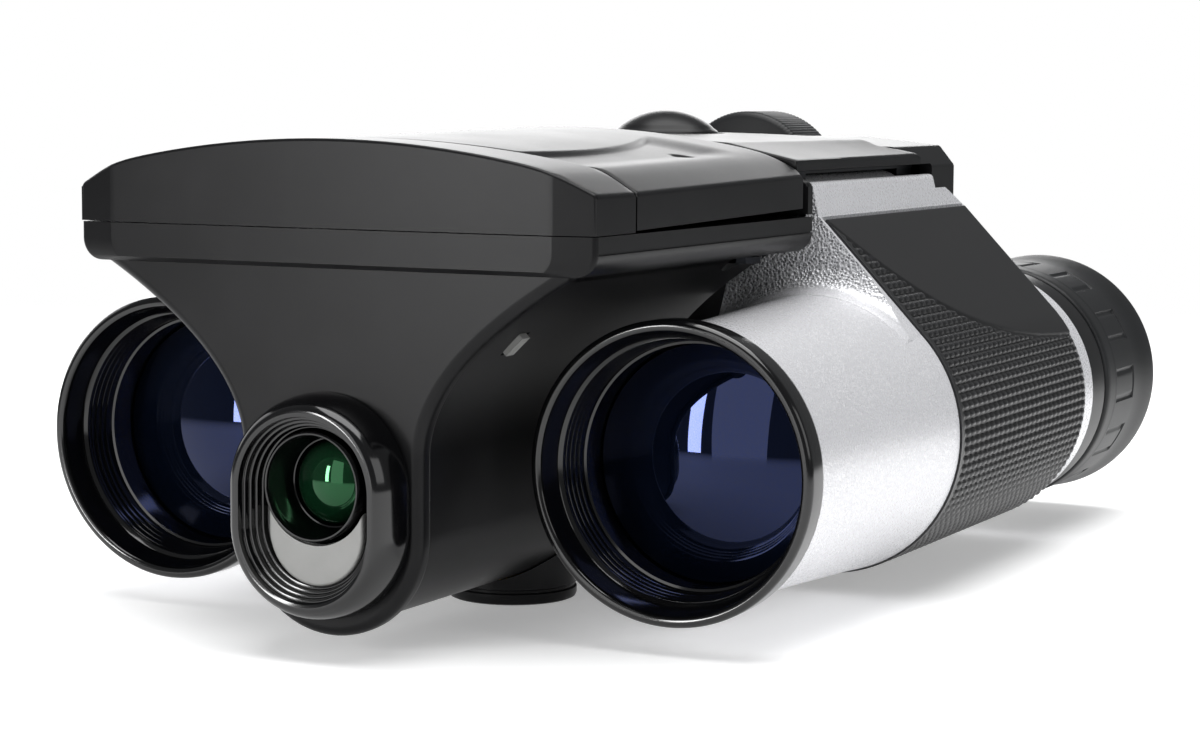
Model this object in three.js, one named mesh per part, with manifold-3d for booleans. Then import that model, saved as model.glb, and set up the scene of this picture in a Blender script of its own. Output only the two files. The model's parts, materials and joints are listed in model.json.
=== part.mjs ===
// Compact camera binoculars: two straight roof-prism barrels hinged to a centre housing that holds a camera,
// a flip-up screen, a focus wheel and the battery bay. Millimetres, +Z up, objectives towards -Y.
// Everything is drawn with Y = 0 at the objective rims and Z = 0 on the barrel axes; the outer group then
// drops the part onto its tripod foot. Left and right are those of the person looking through it.

import * as THREE from "three";
import { mergeVertices } from "three/addons/utils/BufferGeometryUtils.js";
import Module from "manifold-3d";

// ---------------------------------------------------------------- driving dimensions
const BARREL_X = 30; // half the eye spacing at rest
const BARREL_R = 16; // barrel outside radius at the prisms
const RING_R = 15.5; // objective ring
const GRIP_R = 16.3; // rubber grip outside radius
const GRIP_SEAT_R = 15.2; // barrel radius under the grip
const GRIP_Y = [42, 89.5];
const BARREL_END_Y = 94.5;
const EYECUP_Y = [102.1, 122.5];

const WING_HALF = 29.7; // half width of the front housing
const WING_Y = [-16.3, 38];
const CREASE_X = 25.4; // where the crowned roof turns down to the sides
const ROOF_TOP = 33.2;
const ROOF_DROP = 0.00426; // crown: drop per square millimetre from the centre line
const SIDE_TOP = 28.2;
const PARTING_Z = 24.3; // top of the lower shell
const WING_BOTTOM = 20.4;

const NOSE_HALF = 10.5;
const NOSE_FLARE = 16.5;
const NOSE_Y = -15.3;
const NOSE_ROUND_Z = -6; // centre height of the rounded bottom
const HOUSING_Y = [38, 81.2];
const HOUSING_TOP = 28.5;

const PIN_X = 23.5; // barrel hinge axis
const PIN_Z = 25;
const PIN_R = 1.5;
const KNUCKLE_R = 3.6;
const KNUCKLE_Y = [45.9, 74.6];
const LUG_Y = [
  [40.4, 45.5],
  [75, 80.1],
];

const LID_HINGE = { y: -6.5, z: 31, r: 0.5 };
const LID_REAR = 36.4;
const LID_RISE = 0.0167; // the closed lid climbs this much per millimetre towards the rear
const WHEEL = { r: 9.7, z: 25.8, y: [87, 98.5], shaft: 2 };
const SHUTTER = { y: 63, r: 6.6, top: 35.7, base: 32.9 };
const FOOT = { y: 23.5, r: 7.2, z: -18.4 };
const CAMERA_Z = -1; // camera lens axis
const BEZEL = { half: 9.5, z: [-14.5, 8.2], front: -20.3 };
const BATTERY_Y = [34.6, 79.1];
const BAY_DOOR = { half: 7.5, y: 36.3, top: -12.3 };
const GAP = 0.3; // between pieces that meet
const SWING = 0.25; // room round the lid's front edge as it turns

const LENGTH_MID = (BEZEL.front + EYECUP_Y[1]) / 2;
const ROUND = 28; // facets of a visible round piece
const FINE = 16; // facets of an inner round piece

// ---------------------------------------------------------------- finishes
function finish(color, roughness, metalness = 0) {
  return new THREE.MeshStandardMaterial({ color, roughness, metalness });
}
const BLACK = finish(0x232323, 0.55);
const GLOSS = finish(0x0d0d0e, 0.18);
const SILVER = finish(0xc9cbd0, 0.38, 0.6);
const RUBBER = finish(0x2b2c2e, 0.8);
const GLASS_BLUE = finish(0x22335a, 0.05);
const GLASS_GREEN = finish(0x1d4a2a, 0.05);
const GLASS = finish(0xcfd8dc, 0.05);
const GREY = finish(0x8f8f8d, 0.45);
const STEEL = finish(0x9a9da1, 0.3, 1);
const BRASS = finish(0xb08d45, 0.35, 1);
const BOARD = finish(0x1f5a38, 0.6);
const SCREEN = finish(0x0a0c12, 0.1);
const CELL = finish(0x3c4a6a, 0.5);

// ---------------------------------------------------------------- solids
const wasm = await Module();
wasm.setup();

function solid(geometry) {
  const bare = geometry.clone();
  bare.deleteAttribute("normal");
  bare.deleteAttribute("uv");
  const merged = mergeVertices(bare, 1e-4);
  const index = [];
  for (let i = 0; i < merged.index.count; i += 3) {
    const [a, b, c] = [0, 1, 2].map((k) => merged.index.getX(i + k));
    if (a !== b && b !== c && c !== a) index.push(a, b, c);
  }
  return new wasm.Manifold(
    new wasm.Mesh({
      numProp: 3,
      vertProperties: new Float32Array(merged.attributes.position.array),
      triVerts: new Uint32Array(index),
    }),
  );
}

function geometryOf(body) {
  const mesh = body.getMesh();
  const geometry = new THREE.BufferGeometry();
  const positions = new Float32Array(mesh.vertProperties);
  geometry.setAttribute("position", new THREE.BufferAttribute(positions, 3));
  geometry.setIndex(new THREE.BufferAttribute(new Uint32Array(mesh.triVerts), 1));
  return geometry;
}

function piece(parent, name, body, material) {
  const mesh = new THREE.Mesh(geometryOf(body), material);
  mesh.name = name;
  parent.add(mesh);
  return mesh;
}

const AXES = {
  X: new THREE.Vector3(1, 0, 0),
  Y: new THREE.Vector3(0, 1, 0),
  Z: new THREE.Vector3(0, 0, 1),
};

// An outline of [a, b] points pushed along one axis; a and b run along the other two, in X, Y, Z order.
function prism(axis, outline, from, to) {
  const shape = new THREE.Shape(outline.map(([a, b]) => new THREE.Vector2(a, b)));
  const geometry = new THREE.ExtrudeGeometry(shape, { depth: to - from, bevelEnabled: false });
  const turn = new THREE.Matrix4();
  if (axis === "X") turn.makeBasis(AXES.Y, AXES.Z, AXES.X);
  if (axis === "Y") turn.makeBasis(AXES.X, AXES.Z, AXES.Y.clone().negate());
  geometry.applyMatrix4(turn);
  if (axis === "X") geometry.translate(from, 0, 0);
  if (axis === "Y") geometry.translate(0, to, 0);
  if (axis === "Z") geometry.translate(0, 0, from);
  return solid(geometry);
}

function block([x0, x1], [y0, y1], [z0, z1]) {
  const geometry = new THREE.BoxGeometry(Math.abs(x1 - x0), y1 - y0, z1 - z0);
  geometry.translate((x0 + x1) / 2, (y0 + y1) / 2, (z0 + z1) / 2);
  return solid(geometry);
}

// A closed profile of [radius, distance] points turned about an axis through the given point.
function turned(axis, profile, [a, b], facets = ROUND) {
  const points = profile.map(([r, t]) => new THREE.Vector2(r, t));
  const closed = profile[0][0] > 0 ? [...points, points[0].clone()] : points;
  const ordered = THREE.ShapeUtils.area(points) > 0 ? closed : [...closed].reverse();
  const geometry = new THREE.LatheGeometry(ordered, facets);
  if (axis === "X") geometry.rotateZ(-Math.PI / 2);
  if (axis === "Z") geometry.rotateX(Math.PI / 2);
  if (axis === "X") geometry.translate(0, a, b);
  if (axis === "Y") geometry.translate(a, 0, b);
  if (axis === "Z") geometry.translate(a, b, 0);
  return solid(geometry);
}

function rod(axis, r, from, to, centre, facets = FINE) {
  const profile = [
    [0, from],
    [r, from],
    [r, to],
    [0, to],
  ];
  return turned(axis, profile, centre, facets);
}

function ring(axis, inner, outer, from, to, centre, facets = ROUND) {
  const profile = [
    [inner, from],
    [outer, from],
    [outer, to],
    [inner, to],
  ];
  return turned(axis, profile, centre, facets);
}

const mirrored = (half) => [...half, ...half.map(([x, z]) => [-x, z]).reverse()];
const scaled = (outline, side) => outline.map(([x, z]) => [side * x, z]);

// ---------------------------------------------------------------- shared outlines
const roofZ = (x) => ROOF_TOP - ROOF_DROP * x * x;

// Cross section of the front housing above a height: flat sides, a slope and a crowned roof.
function roofOutline(bottom, inset = 0) {
  const crease = CREASE_X - 0.6 * inset;
  const half = WING_HALF - inset;
  const steps = 10;
  const outline = [
    [-half, bottom],
    [half, bottom],
    [half, SIDE_TOP - 0.6 * inset],
  ];
  for (let i = 0; i <= steps; i++) {
    const x = crease * (1 - (2 * i) / steps);
    outline.push([x, roofZ(x) - inset]);
  }
  outline.push([-half, SIDE_TOP - 0.6 * inset]);
  return outline;
}

// The seam between hood and lid, seen from above: it bows forward at the centre.
function seamY(x) {
  const bend = 25;
  const reach = Math.abs(x);
  if (reach <= bend) return -8.5 + 3 * (reach / bend) ** 2;
  return -5.5 - (1.5 * (reach - bend)) / (WING_HALF - bend);
}

function seamPoints(shift) {
  const steps = 12;
  const points = [[WING_HALF + 1, seamY(WING_HALF) + shift]];
  for (let i = 0; i <= steps; i++) {
    const x = 25 * (1 - (2 * i) / steps);
    points.push([x, seamY(x) + shift]);
  }
  points.push([-WING_HALF - 1, seamY(WING_HALF) + shift]);
  return points;
}

// Plan of the front housing with its chamfered front corners.
const wingPlan = (rear) => [
  [-CREASE_X, WING_Y[0]],
  [CREASE_X, WING_Y[0]],
  [WING_HALF, WING_Y[0] + 0.9],
  [WING_HALF, rear],
  [-WING_HALF, rear],
  [-WING_HALF, WING_Y[0] + 0.9],
];

// Cross section of the nose and the body behind it: a flare into the wing and a rounded bottom.
function noseOutline(inset, top = WING_BOTTOM + 0.4) {
  const half = [];
  const steps = 9;
  for (let i = 0; i <= steps; i++) {
    const t = 1 - i / steps;
    const z = 2 + (WING_BOTTOM - 2) * t;
    half.push([NOSE_HALF + NOSE_FLARE * t ** 1.95 - inset * (1 + 0.3 * t), z]);
  }
  half.unshift([half[0][0], top]);
  const r = NOSE_HALF - inset;
  for (let i = 0; i <= 8; i++) {
    const a = (i / 8) * (Math.PI / 2);
    half.push([r * Math.cos(a), NOSE_ROUND_Z - r * Math.sin(a)]);
  }
  half[half.length - 1][0] = 0;
  const left = half.slice(0, -1).map(([x, z]) => [-x, z]);
  return [...half, ...left.reverse()];
}

// Cross section of the housing between the barrels.
function spineOutline(inset, top) {
  const r = NOSE_HALF - inset;
  const half = [
    [13.4 - inset, top],
    [13.4 - inset, 10.5],
    [11 - inset, 3],
  ];
  for (let i = 0; i <= 8; i++) {
    const a = (i / 8) * (Math.PI / 2);
    half.push([r * Math.cos(a), NOSE_ROUND_Z - r * Math.sin(a)]);
  }
  half[half.length - 1][0] = 0;
  const left = half.slice(0, -1).map(([x, z]) => [-x, z]);
  return [...half, ...left.reverse()];
}

function ovalOutline(half, [low, high], inset = 0) {
  const outline = [];
  const mid = (low + high) / 2;
  const straight = (high - low) / 2 - half;
  const r = half - inset;
  const steps = 16;
  for (let i = 0; i < 2 * steps; i++) {
    const a = (Math.PI * i) / steps;
    const shift = i < steps ? straight : -straight;
    outline.push([r * Math.cos(a), mid + shift + r * Math.sin(a)]);
  }
  return outline;
}

// ---------------------------------------------------------------- centre housing
const BUTTONS = [
  ["power_button", -9, 4],
  ["menu_button", 9, 4],
  ["up_button", 0, 12],
  ["down_button", 0, 24],
];
const CASE_SCREWS = [
  [-24.5, 31],
  [24.5, 31],
];

function bayDoorCut(gap) {
  const reach = BAY_DOOR.half + gap;
  return block([-reach, reach], [BAY_DOOR.y - gap, HOUSING_Y[1] + gap], [-17, BAY_DOOR.top + gap]);
}

// Outside of nose, body and spine housing in one.
function housingBody(inset) {
  const bead = prism("Y", noseOutline(inset), NOSE_Y + inset, -12.8);
  const body = prism("Y", noseOutline(0.9 + inset), -13, WING_Y[1]);
  const spine = prism("Y", spineOutline(0.3 + inset, HOUSING_TOP), WING_Y[1] - 2, HOUSING_Y[1] - inset);
  const wallRoom = block([-15, 15], [30, WING_Y[1] + GAP], [PARTING_Z, 40]);
  return bead.add(body).add(spine.subtract(wallRoom));
}

function lowerShell() {
  const tray = [
    [WING_HALF, PARTING_Z],
    [WING_HALF, 22.4],
    [29.1, 21.1],
    [27.6, WING_BOTTOM],
  ];
  const wing = prism("Y", mirrored(tray), WING_Y[0], WING_Y[1]).intersect(
    prism("Z", wingPlan(WING_Y[1]), 0, PARTING_Z),
  );
  const pocket = block([-28.2, 28.2], [-14.6, 36.5], [21.9, PARTING_Z + 1]);
  const bodyHollow = prism("Y", noseOutline(2.5, 23), NOSE_Y + 1.8, 40);
  const spineHollow = prism("Y", spineOutline(1.9, HOUSING_TOP + 1), 34, HOUSING_Y[1] - 1.6);
  let shell = wing.add(housingBody(0)).subtract(pocket).subtract(bodyHollow).subtract(spineHollow);
  shell = shell.subtract(bayDoorCut(GAP));
  shell = shell.subtract(rod("Y", 6.3, NOSE_Y - 1, -12, [0, CAMERA_Z], ROUND));
  shell = shell.subtract(rod("Z", 4.4, -20, -12, [0, FOOT.y]));
  shell = shell.subtract(rod("Y", WHEEL.shaft + 0.6, 76, 84, [0, WHEEL.z]));
  shell = shell.subtract(indicatorBlock(GAP));
  for (const [x, y] of CASE_SCREWS) {
    shell = shell.subtract(rod("Z", 1.2, 19, 23, [x, y], 12));
    shell = shell.subtract(rod("Z", 2.4, 10, WING_BOTTOM, [x, y], 12));
  }
  return shell;
}

function indicatorBlock(gap) {
  const slope = (44 * Math.PI) / 180;
  const geometry = new THREE.BoxGeometry(2.6 + 2 * gap, 1.6 + 2 * gap, 1.8 + gap);
  geometry.rotateY(-slope);
  geometry.translate(14.75, -4.2, 13.1);
  return solid(geometry);
}

function frontHood() {
  const plan = [
    [-CREASE_X, WING_Y[0]],
    [CREASE_X, WING_Y[0]],
    [WING_HALF, WING_Y[0] + 0.9],
    ...seamPoints(0).map(([x, y]) => [THREE.MathUtils.clamp(x, -WING_HALF, WING_HALF), y]),
    [-WING_HALF, WING_Y[0] + 0.9],
  ];
  const bottom = PARTING_Z + GAP;
  const outside = prism("Y", roofOutline(bottom), WING_Y[0], 0).intersect(prism("Z", plan, 0, 40));
  const hollowPlan = [
    [-WING_HALF + 1.6, WING_Y[0] + 2],
    [WING_HALF - 1.6, WING_Y[0] + 2],
    ...seamPoints(-1.6).map(([x, y]) => [THREE.MathUtils.clamp(x, -28.1, 28.1), Math.min(y, -8.2)]),
  ];
  const hollow = prism("Y", roofOutline(20, 1.6), WING_Y[0], 0).intersect(prism("Z", hollowPlan, 20, 40));
  return outside.subtract(hollow).subtract(lidSweep());
}

// The space that the lid's front edge turns through: a spindle about the lid hinge.
function lidSweep() {
  const reach = 21;
  const steps = 14;
  const profile = [[0, -reach]];
  for (let i = 0; i <= steps; i++) {
    const x = reach * ((2 * i) / steps - 1);
    const rise = roofZ(x) - LID_HINGE.z;
    profile.push([Math.hypot(rise, Math.min(0, seamY(x) - LID_HINGE.y)) + SWING, x]);
  }
  profile.push([0, reach]);
  return turned("X", profile, [LID_HINGE.y, LID_HINGE.z], FINE);
}

function controlDeck() {
  let deck = block([-27.9, 27.9], [-8, 36.2], [22.7, PARTING_Z]);
  for (const side of [-1, 1]) {
    const post = block([side * 10.2, side * 13.6], [LID_HINGE.y - 0.8, LID_HINGE.y + 0.8], [23, LID_HINGE.z]);
    const eye = rod("X", 0.95, Math.min(side * 10.2, side * 13.6), Math.max(side * 10.2, side * 13.6), [
      LID_HINGE.y,
      LID_HINGE.z,
    ]);
    deck = deck.add(post).add(eye);
  }
  deck = deck.subtract(rod("X", LID_HINGE.r + 0.05, -20, 20, [LID_HINGE.y, LID_HINGE.z], 12));
  for (const [, x, y] of BUTTONS) deck = deck.subtract(rod("Z", 2.75, 22, 25, [x, y]));
  for (const [x, y] of CASE_SCREWS) deck = deck.subtract(rod("Z", 0.9, 22, 24, [x, y], 12));
  return deck;
}

// Cover between the lid and the rear cap, with the thin wall that stands behind the lid.
function spineCover() {
  const wall = prism("Y", roofOutline(PARTING_Z + GAP), LID_REAR + GAP, WING_Y[1]);
  const section = [
    [28, 29.3],
    [28, 30.5],
    [20, 32.3],
    [10, 32.9],
  ];
  const under = [
    [26.8, 28],
    [26.8, 29.7],
    [19.6, 30.9],
    [10, 31.4],
  ];
  const plate = prism("Y", mirrored(section), WING_Y[1] - 0.5, 77.3);
  const hollow = prism("Y", mirrored(under), WING_Y[1] + 1, 80);
  const behind = [
    [-30, 90],
    [-30, 77.3],
    [-28, 77.3],
    [-25, 70.4],
    [25, 70.4],
    [28, 77.3],
    [30, 77.3],
    [30, 90],
  ];
  return wall
    .add(plate)
    .subtract(hollow)
    .subtract(prism("Z", behind, 20, 40))
    .subtract(rod("Z", SHUTTER.r + GAP, 28, 36, [0, SHUTTER.y], ROUND));
}

// Rear cap: a thin plate over the hinges and a block behind the barrel shoulders, with the wheel well.
function rearCap() {
  const section = [
    [28, 20],
    [28, 29],
    [26, 31.45],
    [16, 32.4],
  ];
  const step = 0.35;
  const plan = [
    [-28, 90.3],
    [-28, 77.3 + step],
    [-25, 70.4 + step],
    [25, 70.4 + step],
    [28, 77.3 + step],
    [28, 90.3],
  ];
  const top = prism("Y", mirrored(section), 68, 90.3).intersect(prism("Z", plan, 19, 40));
  const under = block([-30, 30], [60, 81.5], [10, 29.3]);
  const centre = block([-12.2, 12.2], [81.5, 90.3], [6, 26]);
  let cap = top.subtract(under).add(centre);
  for (const side of [-1, 1]) {
    const [inner, outer] = [side * 13, side * 26.4].sort((a, b) => a - b);
    cap = cap.subtract(block([inner, outer], [80, 88.7], [21.6, 29.9]));
  }
  cap = cap.subtract(prism("Y", mirrored([[26.6, 20], [26.6, 29.2], [16, 30.9]]), 68, 81.4));
  cap = cap.subtract(rod("Y", WHEEL.r + 0.9, WHEEL.y[0] - 0.5, 92, [0, WHEEL.z], ROUND));
  return cap.subtract(rod("Y", WHEEL.shaft + 0.05, 80, 92, [0, WHEEL.z]));
}

// Metal bridge that carries both barrel hinges under the covers.
function hingeBridge() {
  let bridge = block([-25.8, 25.8], [39.6, 80.4], [28.8, 29.1]);
  bridge = bridge.add(block([-18, 18], [39.6, 80.4], [28.8, 30.1]));
  for (const side of [-1, 1]) {
    for (const [y0, y1] of LUG_Y) {
      const [inner, outer] = [side * 20.3, side * 25.8].sort((a, b) => a - b);
      bridge = bridge.add(block([inner, outer], [y0, y1], [PIN_Z, 29.1]));
      bridge = bridge.add(rod("Y", KNUCKLE_R, y0, y1, [side * PIN_X, PIN_Z]));
    }
  }
  for (const side of [-1, 1]) {
    bridge = bridge.subtract(rod("Y", PIN_R + 0.02, 38, 82, [side * PIN_X, PIN_Z]));
    bridge = bridge.subtract(block([side * 25.75, side * 28].sort((a, b) => a - b), [39, 82], [26.5, 28.75]));
  }
  return bridge.subtract(rod("Z", SHUTTER.r + 2, 28, 32, [0, SHUTTER.y], ROUND));
}

function shutterButton() {
  const { r, top, base } = SHUTTER;
  const rise = top - base;
  const dome = (r * r + rise * rise) / (2 * rise);
  const profile = [
    [0, 28.8],
    [2.6, 28.8],
    [2.6, 30],
    [r + 1, 30],
    [r + 1, 31],
    [r, 31],
  ];
  const steps = 6;
  const sweep = Math.asin(r / dome);
  for (let i = 0; i <= steps; i++) {
    const a = sweep * (1 - i / steps);
    profile.push([dome * Math.sin(a), top - dome + dome * Math.cos(a)]);
  }
  profile[profile.length - 1][0] = 0;
  return turned("Z", profile, [0, SHUTTER.y]);
}

function smallButton(x, y) {
  const profile = [
    [0, 21.8],
    [3.1, 21.8],
    [3.1, 22.4],
    [2.45, 22.4],
    [2.45, 24.9],
    [2.1, 25.2],
    [0, 25.2],
  ];
  return turned("Z", profile, [x, y], FINE);
}

// ---------------------------------------------------------------- camera
// An upright oval pushed along Y and tapered towards its front face.
function taperedOval(half, span, from, to, frontScale) {
  const mid = (span[0] + span[1]) / 2;
  const outline = ovalOutline(half, span).map(([x, z]) => new THREE.Vector2(x, z));
  const geometry = new THREE.ExtrudeGeometry(new THREE.Shape(outline), { depth: to - from, bevelEnabled: false });
  const turn = new THREE.Matrix4().makeBasis(AXES.X, AXES.Z, AXES.Y.clone().negate());
  geometry.applyMatrix4(turn);
  geometry.translate(0, to, 0);
  const position = geometry.attributes.position;
  for (let i = 0; i < position.count; i++) {
    if (position.getY(i) > from + 0.01) continue;
    position.setX(i, position.getX(i) * frontScale);
    position.setZ(i, mid + (position.getZ(i) - mid) * frontScale);
  }
  return solid(geometry);
}

function cameraBezel() {
  const back = NOSE_Y - GAP;
  const outside = taperedOval(BEZEL.half, BEZEL.z, BEZEL.front, back, 0.88);
  const recess = taperedOval(6.4, [-11.4, 5.6], BEZEL.front - 0.1, back + 1, 1.12);
  const floor = prism("Y", ovalOutline(7.6, [-12.4, 6.6]), -16.6, back);
  return outside
    .subtract(recess)
    .add(floor)
    .subtract(rod("Y", 5.9, -22, -14, [0, CAMERA_Z], ROUND));
}

function bezelPlate() {
  const plate = prism("Y", ovalOutline(5.3, [-10.9, 4.6]), -17.7, -16.9);
  return plate.subtract(rod("Y", 6.1, -22, -14, [0, CAMERA_Z], ROUND));
}

function cameraBarrel() {
  const profile = [
    [5.5, -18.6],
    [5.6, -16.4],
    [5.6, -2],
    [4.4, -2],
    [4.4, -14.6],
    [5.1, -18.6],
  ];
  return turned("Y", profile, [0, CAMERA_Z]);
}

function cameraLens() {
  const profile = [
    [0, -16.2],
    [2.4, -15.7],
    [4.2, -14.3],
    [4.2, -11.5],
    [0, -11.5],
  ];
  return turned("Y", profile, [0, CAMERA_Z], FINE);
}

function mainBoard() {
  let board = block([-14.5, 14.5], [-2, 30], [17.2, 18.6]);
  for (const [, x, y] of BUTTONS) board = board.add(block([x - 1.6, x + 1.6], [y - 1.6, y + 1.6], [18, 21.1]));
  return board;
}

// ---------------------------------------------------------------- foot, batteries and door
function tripodFoot() {
  return rod("Z", FOOT.r, FOOT.z, -10, [0, FOOT.y], ROUND)
    .subtract(prism("Y", noseOutline(0.7), 10, 36))
    .subtract(rod("Z", 4.4, -20, -5, [0, FOOT.y]));
}

function bayDoor() {
  const inside = prism("Y", spineOutline(1.9, 20), 30, HOUSING_Y[1] + 2);
  return prism("Y", spineOutline(0.3, 19), 30, HOUSING_Y[1])
    .subtract(inside)
    .intersect(bayDoorCut(0));
}

// ---------------------------------------------------------------- lid
// Tips a solid so that it climbs towards the rear with the closed lid.
function rising(body) {
  const geometry = geometryOf(body);
  const climb = new THREE.Matrix4().makeShear(0, 0, 0, LID_RISE, 0, 0);
  geometry.applyMatrix4(climb);
  geometry.translate(0, 0, -LID_RISE * LID_HINGE.y);
  return solid(geometry);
}

function lidCover() {
  const plan = [
    ...seamPoints(GAP).map(([x, y]) => [THREE.MathUtils.clamp(x, -WING_HALF, WING_HALF), y]),
    [-WING_HALF, LID_REAR - 1.2],
    [-28.2, LID_REAR],
    [28.2, LID_REAR],
    [WING_HALF, LID_REAR - 1.2],
  ];
  const outside = prism("Y", roofOutline(PARTING_Z + 0.3), -10, 40).intersect(prism("Z", plan, 0, 50));
  const hollow = prism("Y", roofOutline(20, 1.6), -4.6, LID_REAR - 1.5);
  let lid = outside.subtract(hollow);
  lid = lid.subtract(block([-28, 28], [-12, -4.5], [20, 25.4]));
  const axis = [LID_HINGE.y, LID_HINGE.z];
  for (const side of [-1, 1]) {
    const span = [side * 9.9, side * 13.9].sort((a, b) => a - b);
    lid = lid.subtract(block(span, [-12, LID_HINGE.y + 1.6], [20, LID_HINGE.z]));
    lid = lid.subtract(block(span, [-12, LID_HINGE.y], [20, LID_HINGE.z + 1.1]));
    lid = lid.subtract(rod("X", 1.25, span[0], span[1], axis));
  }
  lid = rising(lid).add(rod("X", 1.4, -9.6, 9.6, axis));
  return lid.subtract(rod("X", LID_HINGE.r + 0.06, -20, 20, axis, 12));
}

function screenBezel() {
  const frame = block([-27.7, 27.7], [-4.2, LID_REAR - 1.9], [25.7, 26.9]);
  return rising(frame.subtract(block([-20.6, 20.6], [-0.6, 30.6], [20, 30])));
}

const screenPanel = () => rising(block([-23, 23], [-2.6, 32.6], [27.2, 28.9]));

// ---------------------------------------------------------------- barrels
// Cross section from the tube up to the hinge: straight flanks either side of the knuckle.
function shoulderOutline(inset) {
  return [
    [15.9, 7.6],
    [PIN_X - KNUCKLE_R, PIN_Z],
    [PIN_X, PIN_Z],
    [26.9, 28],
    [28.2 - inset, 28],
    [29.1 - inset, 24.15 - inset],
    [41.59 - 0.72 * inset, 11.03 - 0.7 * inset],
    [BARREL_X, 0],
  ];
}

function barrelOutside(side, tubeR, inset) {
  const profile = [
    [0, 3.9],
    [14.2, 3.9],
    [14.3, 6],
    [14.8, 20],
    [15.6, 36],
    [tubeR, 42],
    [tubeR, 90],
    [15.6, 90.6],
    [15.6, BARREL_END_Y],
    [0, BARREL_END_Y],
  ];
  const sideView = [
    [35.6, 0],
    [90, 0],
    [90, 24],
    [88.3, 24.8],
    [82, 27.5],
    [81, 29],
    [40.4, 29],
    [36, 23.5],
    [35.6, 15],
  ];
  const centre = [side * BARREL_X, 0];
  const tube = turned("Y", profile, centre);
  const shoulder = prism("Y", scaled(shoulderOutline(inset), side), 35, 90.5).intersect(
    prism("X", sideView, -60, 60),
  );
  const knuckle = rod("Y", KNUCKLE_R, ...KNUCKLE_Y, [side * PIN_X, PIN_Z]);
  const wingRoom = block(
    [side * 5, side * 29.95].sort((a, b) => a - b),
    [30, 38.4],
    [5, 40],
  );
  const capRoom = block(
    [side * 5, side * 28.6].sort((a, b) => a - b),
    [81.15, 100],
    [5, 40],
  );
  return tube.add(shoulder.subtract(wingRoom).subtract(capRoom)).add(knuckle);
}

// The stretch of surface that the rubber covers: from the shoulder edge round the outside and underneath.
function gripMask(side, from, to, edge) {
  const outline = [
    [29.1, 24.1 - edge],
    [60, 24.1 - edge],
    [60, -30],
    [-22 + 2 * edge, -30],
    [BARREL_X, 0],
    [29.1, 8],
  ];
  return prism("Y", scaled(outline, side), from, to);
}

function barrelShell(side) {
  const centre = [side * BARREL_X, 0];
  const seat = barrelOutside(side, 20, -3).subtract(barrelOutside(side, GRIP_SEAT_R, 0.8));
  const bore = turned(
    "Y",
    [
      [0, 3],
      [13.55, 3],
      [13.55, 12.3],
      [13.45, 12.3],
      [13.45, 37],
      [14.4, 38],
      [14.4, 83],
      [12.95, 86],
      [12.95, 96],
      [0, 96],
    ],
    centre,
  );
  const room = scaled(
    [
      [18.6, 8],
      [21.6, 20.4],
      [27.4, 20.4],
      [38, 10],
    ],
    side,
  );
  let shell = barrelOutside(side, BARREL_R, 0);
  shell = shell.subtract(seat.intersect(gripMask(side, ...GRIP_Y, 0)));
  shell = shell.subtract(bore).subtract(prism("Y", room, 42.5, 78.5));
  const pin = [side * PIN_X, PIN_Z];
  shell = shell.subtract(rod("Y", PIN_R + 0.05, 38, 82, pin));
  shell = shell.subtract(rod("Y", KNUCKLE_R + 0.5, 38, KNUCKLE_Y[0], pin, ROUND));
  return shell.subtract(rod("Y", KNUCKLE_R + 0.5, KNUCKLE_Y[1], 83, pin, ROUND));
}

function barrelGrip(side) {
  const outer = prism("Y", scaled(gripOutline(GRIP_R), side), GRIP_Y[0], GRIP_Y[1]);
  const inner = prism("Y", scaled(gripOutline(GRIP_SEAT_R + 0.2), side), GRIP_Y[0] - 1, GRIP_Y[1] + 1);
  const ends = [GRIP_Y[0] + 0.2, GRIP_Y[1] - 0.2];
  return outer.subtract(inner).intersect(gripMask(side, ...ends, 0.2));
}

// The barrel's round outside with its outer flank, as one closed outline of the given tube radius.
function gripOutline(r) {
  const grown = r - BARREL_R;
  const outline = [
    [22, 12],
    [28.9 + grown, 26],
    [29.1 + grown, 24.15 + grown],
  ];
  const start = (43.58 * Math.PI) / 180;
  const steps = 28;
  const sweep = (260 * Math.PI) / 180;
  for (let i = 0; i <= steps; i++) {
    const a = start - (sweep * i) / steps;
    outline.push([BARREL_X + r * Math.cos(a), r * Math.sin(a)]);
  }
  return outline;
}

function objectiveRing(centre) {
  const profile = [
    [14.5, 0],
    [15, 0],
    [RING_R, 0.5],
    [RING_R, 3.1],
    [15.1, 3.6],
    [13.4, 3.6],
    [13.4, 12],
    [12.6, 12],
    [12.6, 7.2],
    [12.95, 7],
    [12.95, 3.8],
    [13.8, 3.4],
    [14.2, 1.2],
  ];
  return turned("Y", profile, centre);
}

function objectiveLens(centre) {
  const profile = [
    [0, 8.2],
    [5, 8.6],
    [9, 9.4],
    [12.4, 10.6],
    [12.4, 11.8],
    [0, 13],
  ];
  return turned("Y", profile, centre);
}

function roofPrism([x]) {
  const outline = [
    [44, -9.5],
    [57.5, -9.5],
    [60, -2],
    [57.5, 9.5],
    [44, 4],
  ];
  return prism("X", outline, x - 8, x + 8);
}

function pechanPrism([x]) {
  const outline = [
    [60.8, -2],
    [58.4, -9.5],
    [74, -9.5],
    [74, 9.5],
    [58.3, 9.5],
  ];
  return prism("X", outline, x - 8, x + 8);
}

function ocularTube(centre) {
  const profile = [
    [12.75, 86.3],
    [12.75, 115.4],
    [12.3, 116],
    [10.2, 116],
    [10.2, 115.1],
    [11.3, 115.1],
    [11.3, 86.3],
  ];
  return turned("Y", profile, centre);
}

function eyeLens(centre) {
  const profile = [
    [0, 107.6],
    [11.1, 109.5],
    [11.1, 112.8],
    [9, 113.8],
    [5, 114.6],
    [0, 114.9],
  ];
  return turned("Y", profile, centre, FINE);
}

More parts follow.
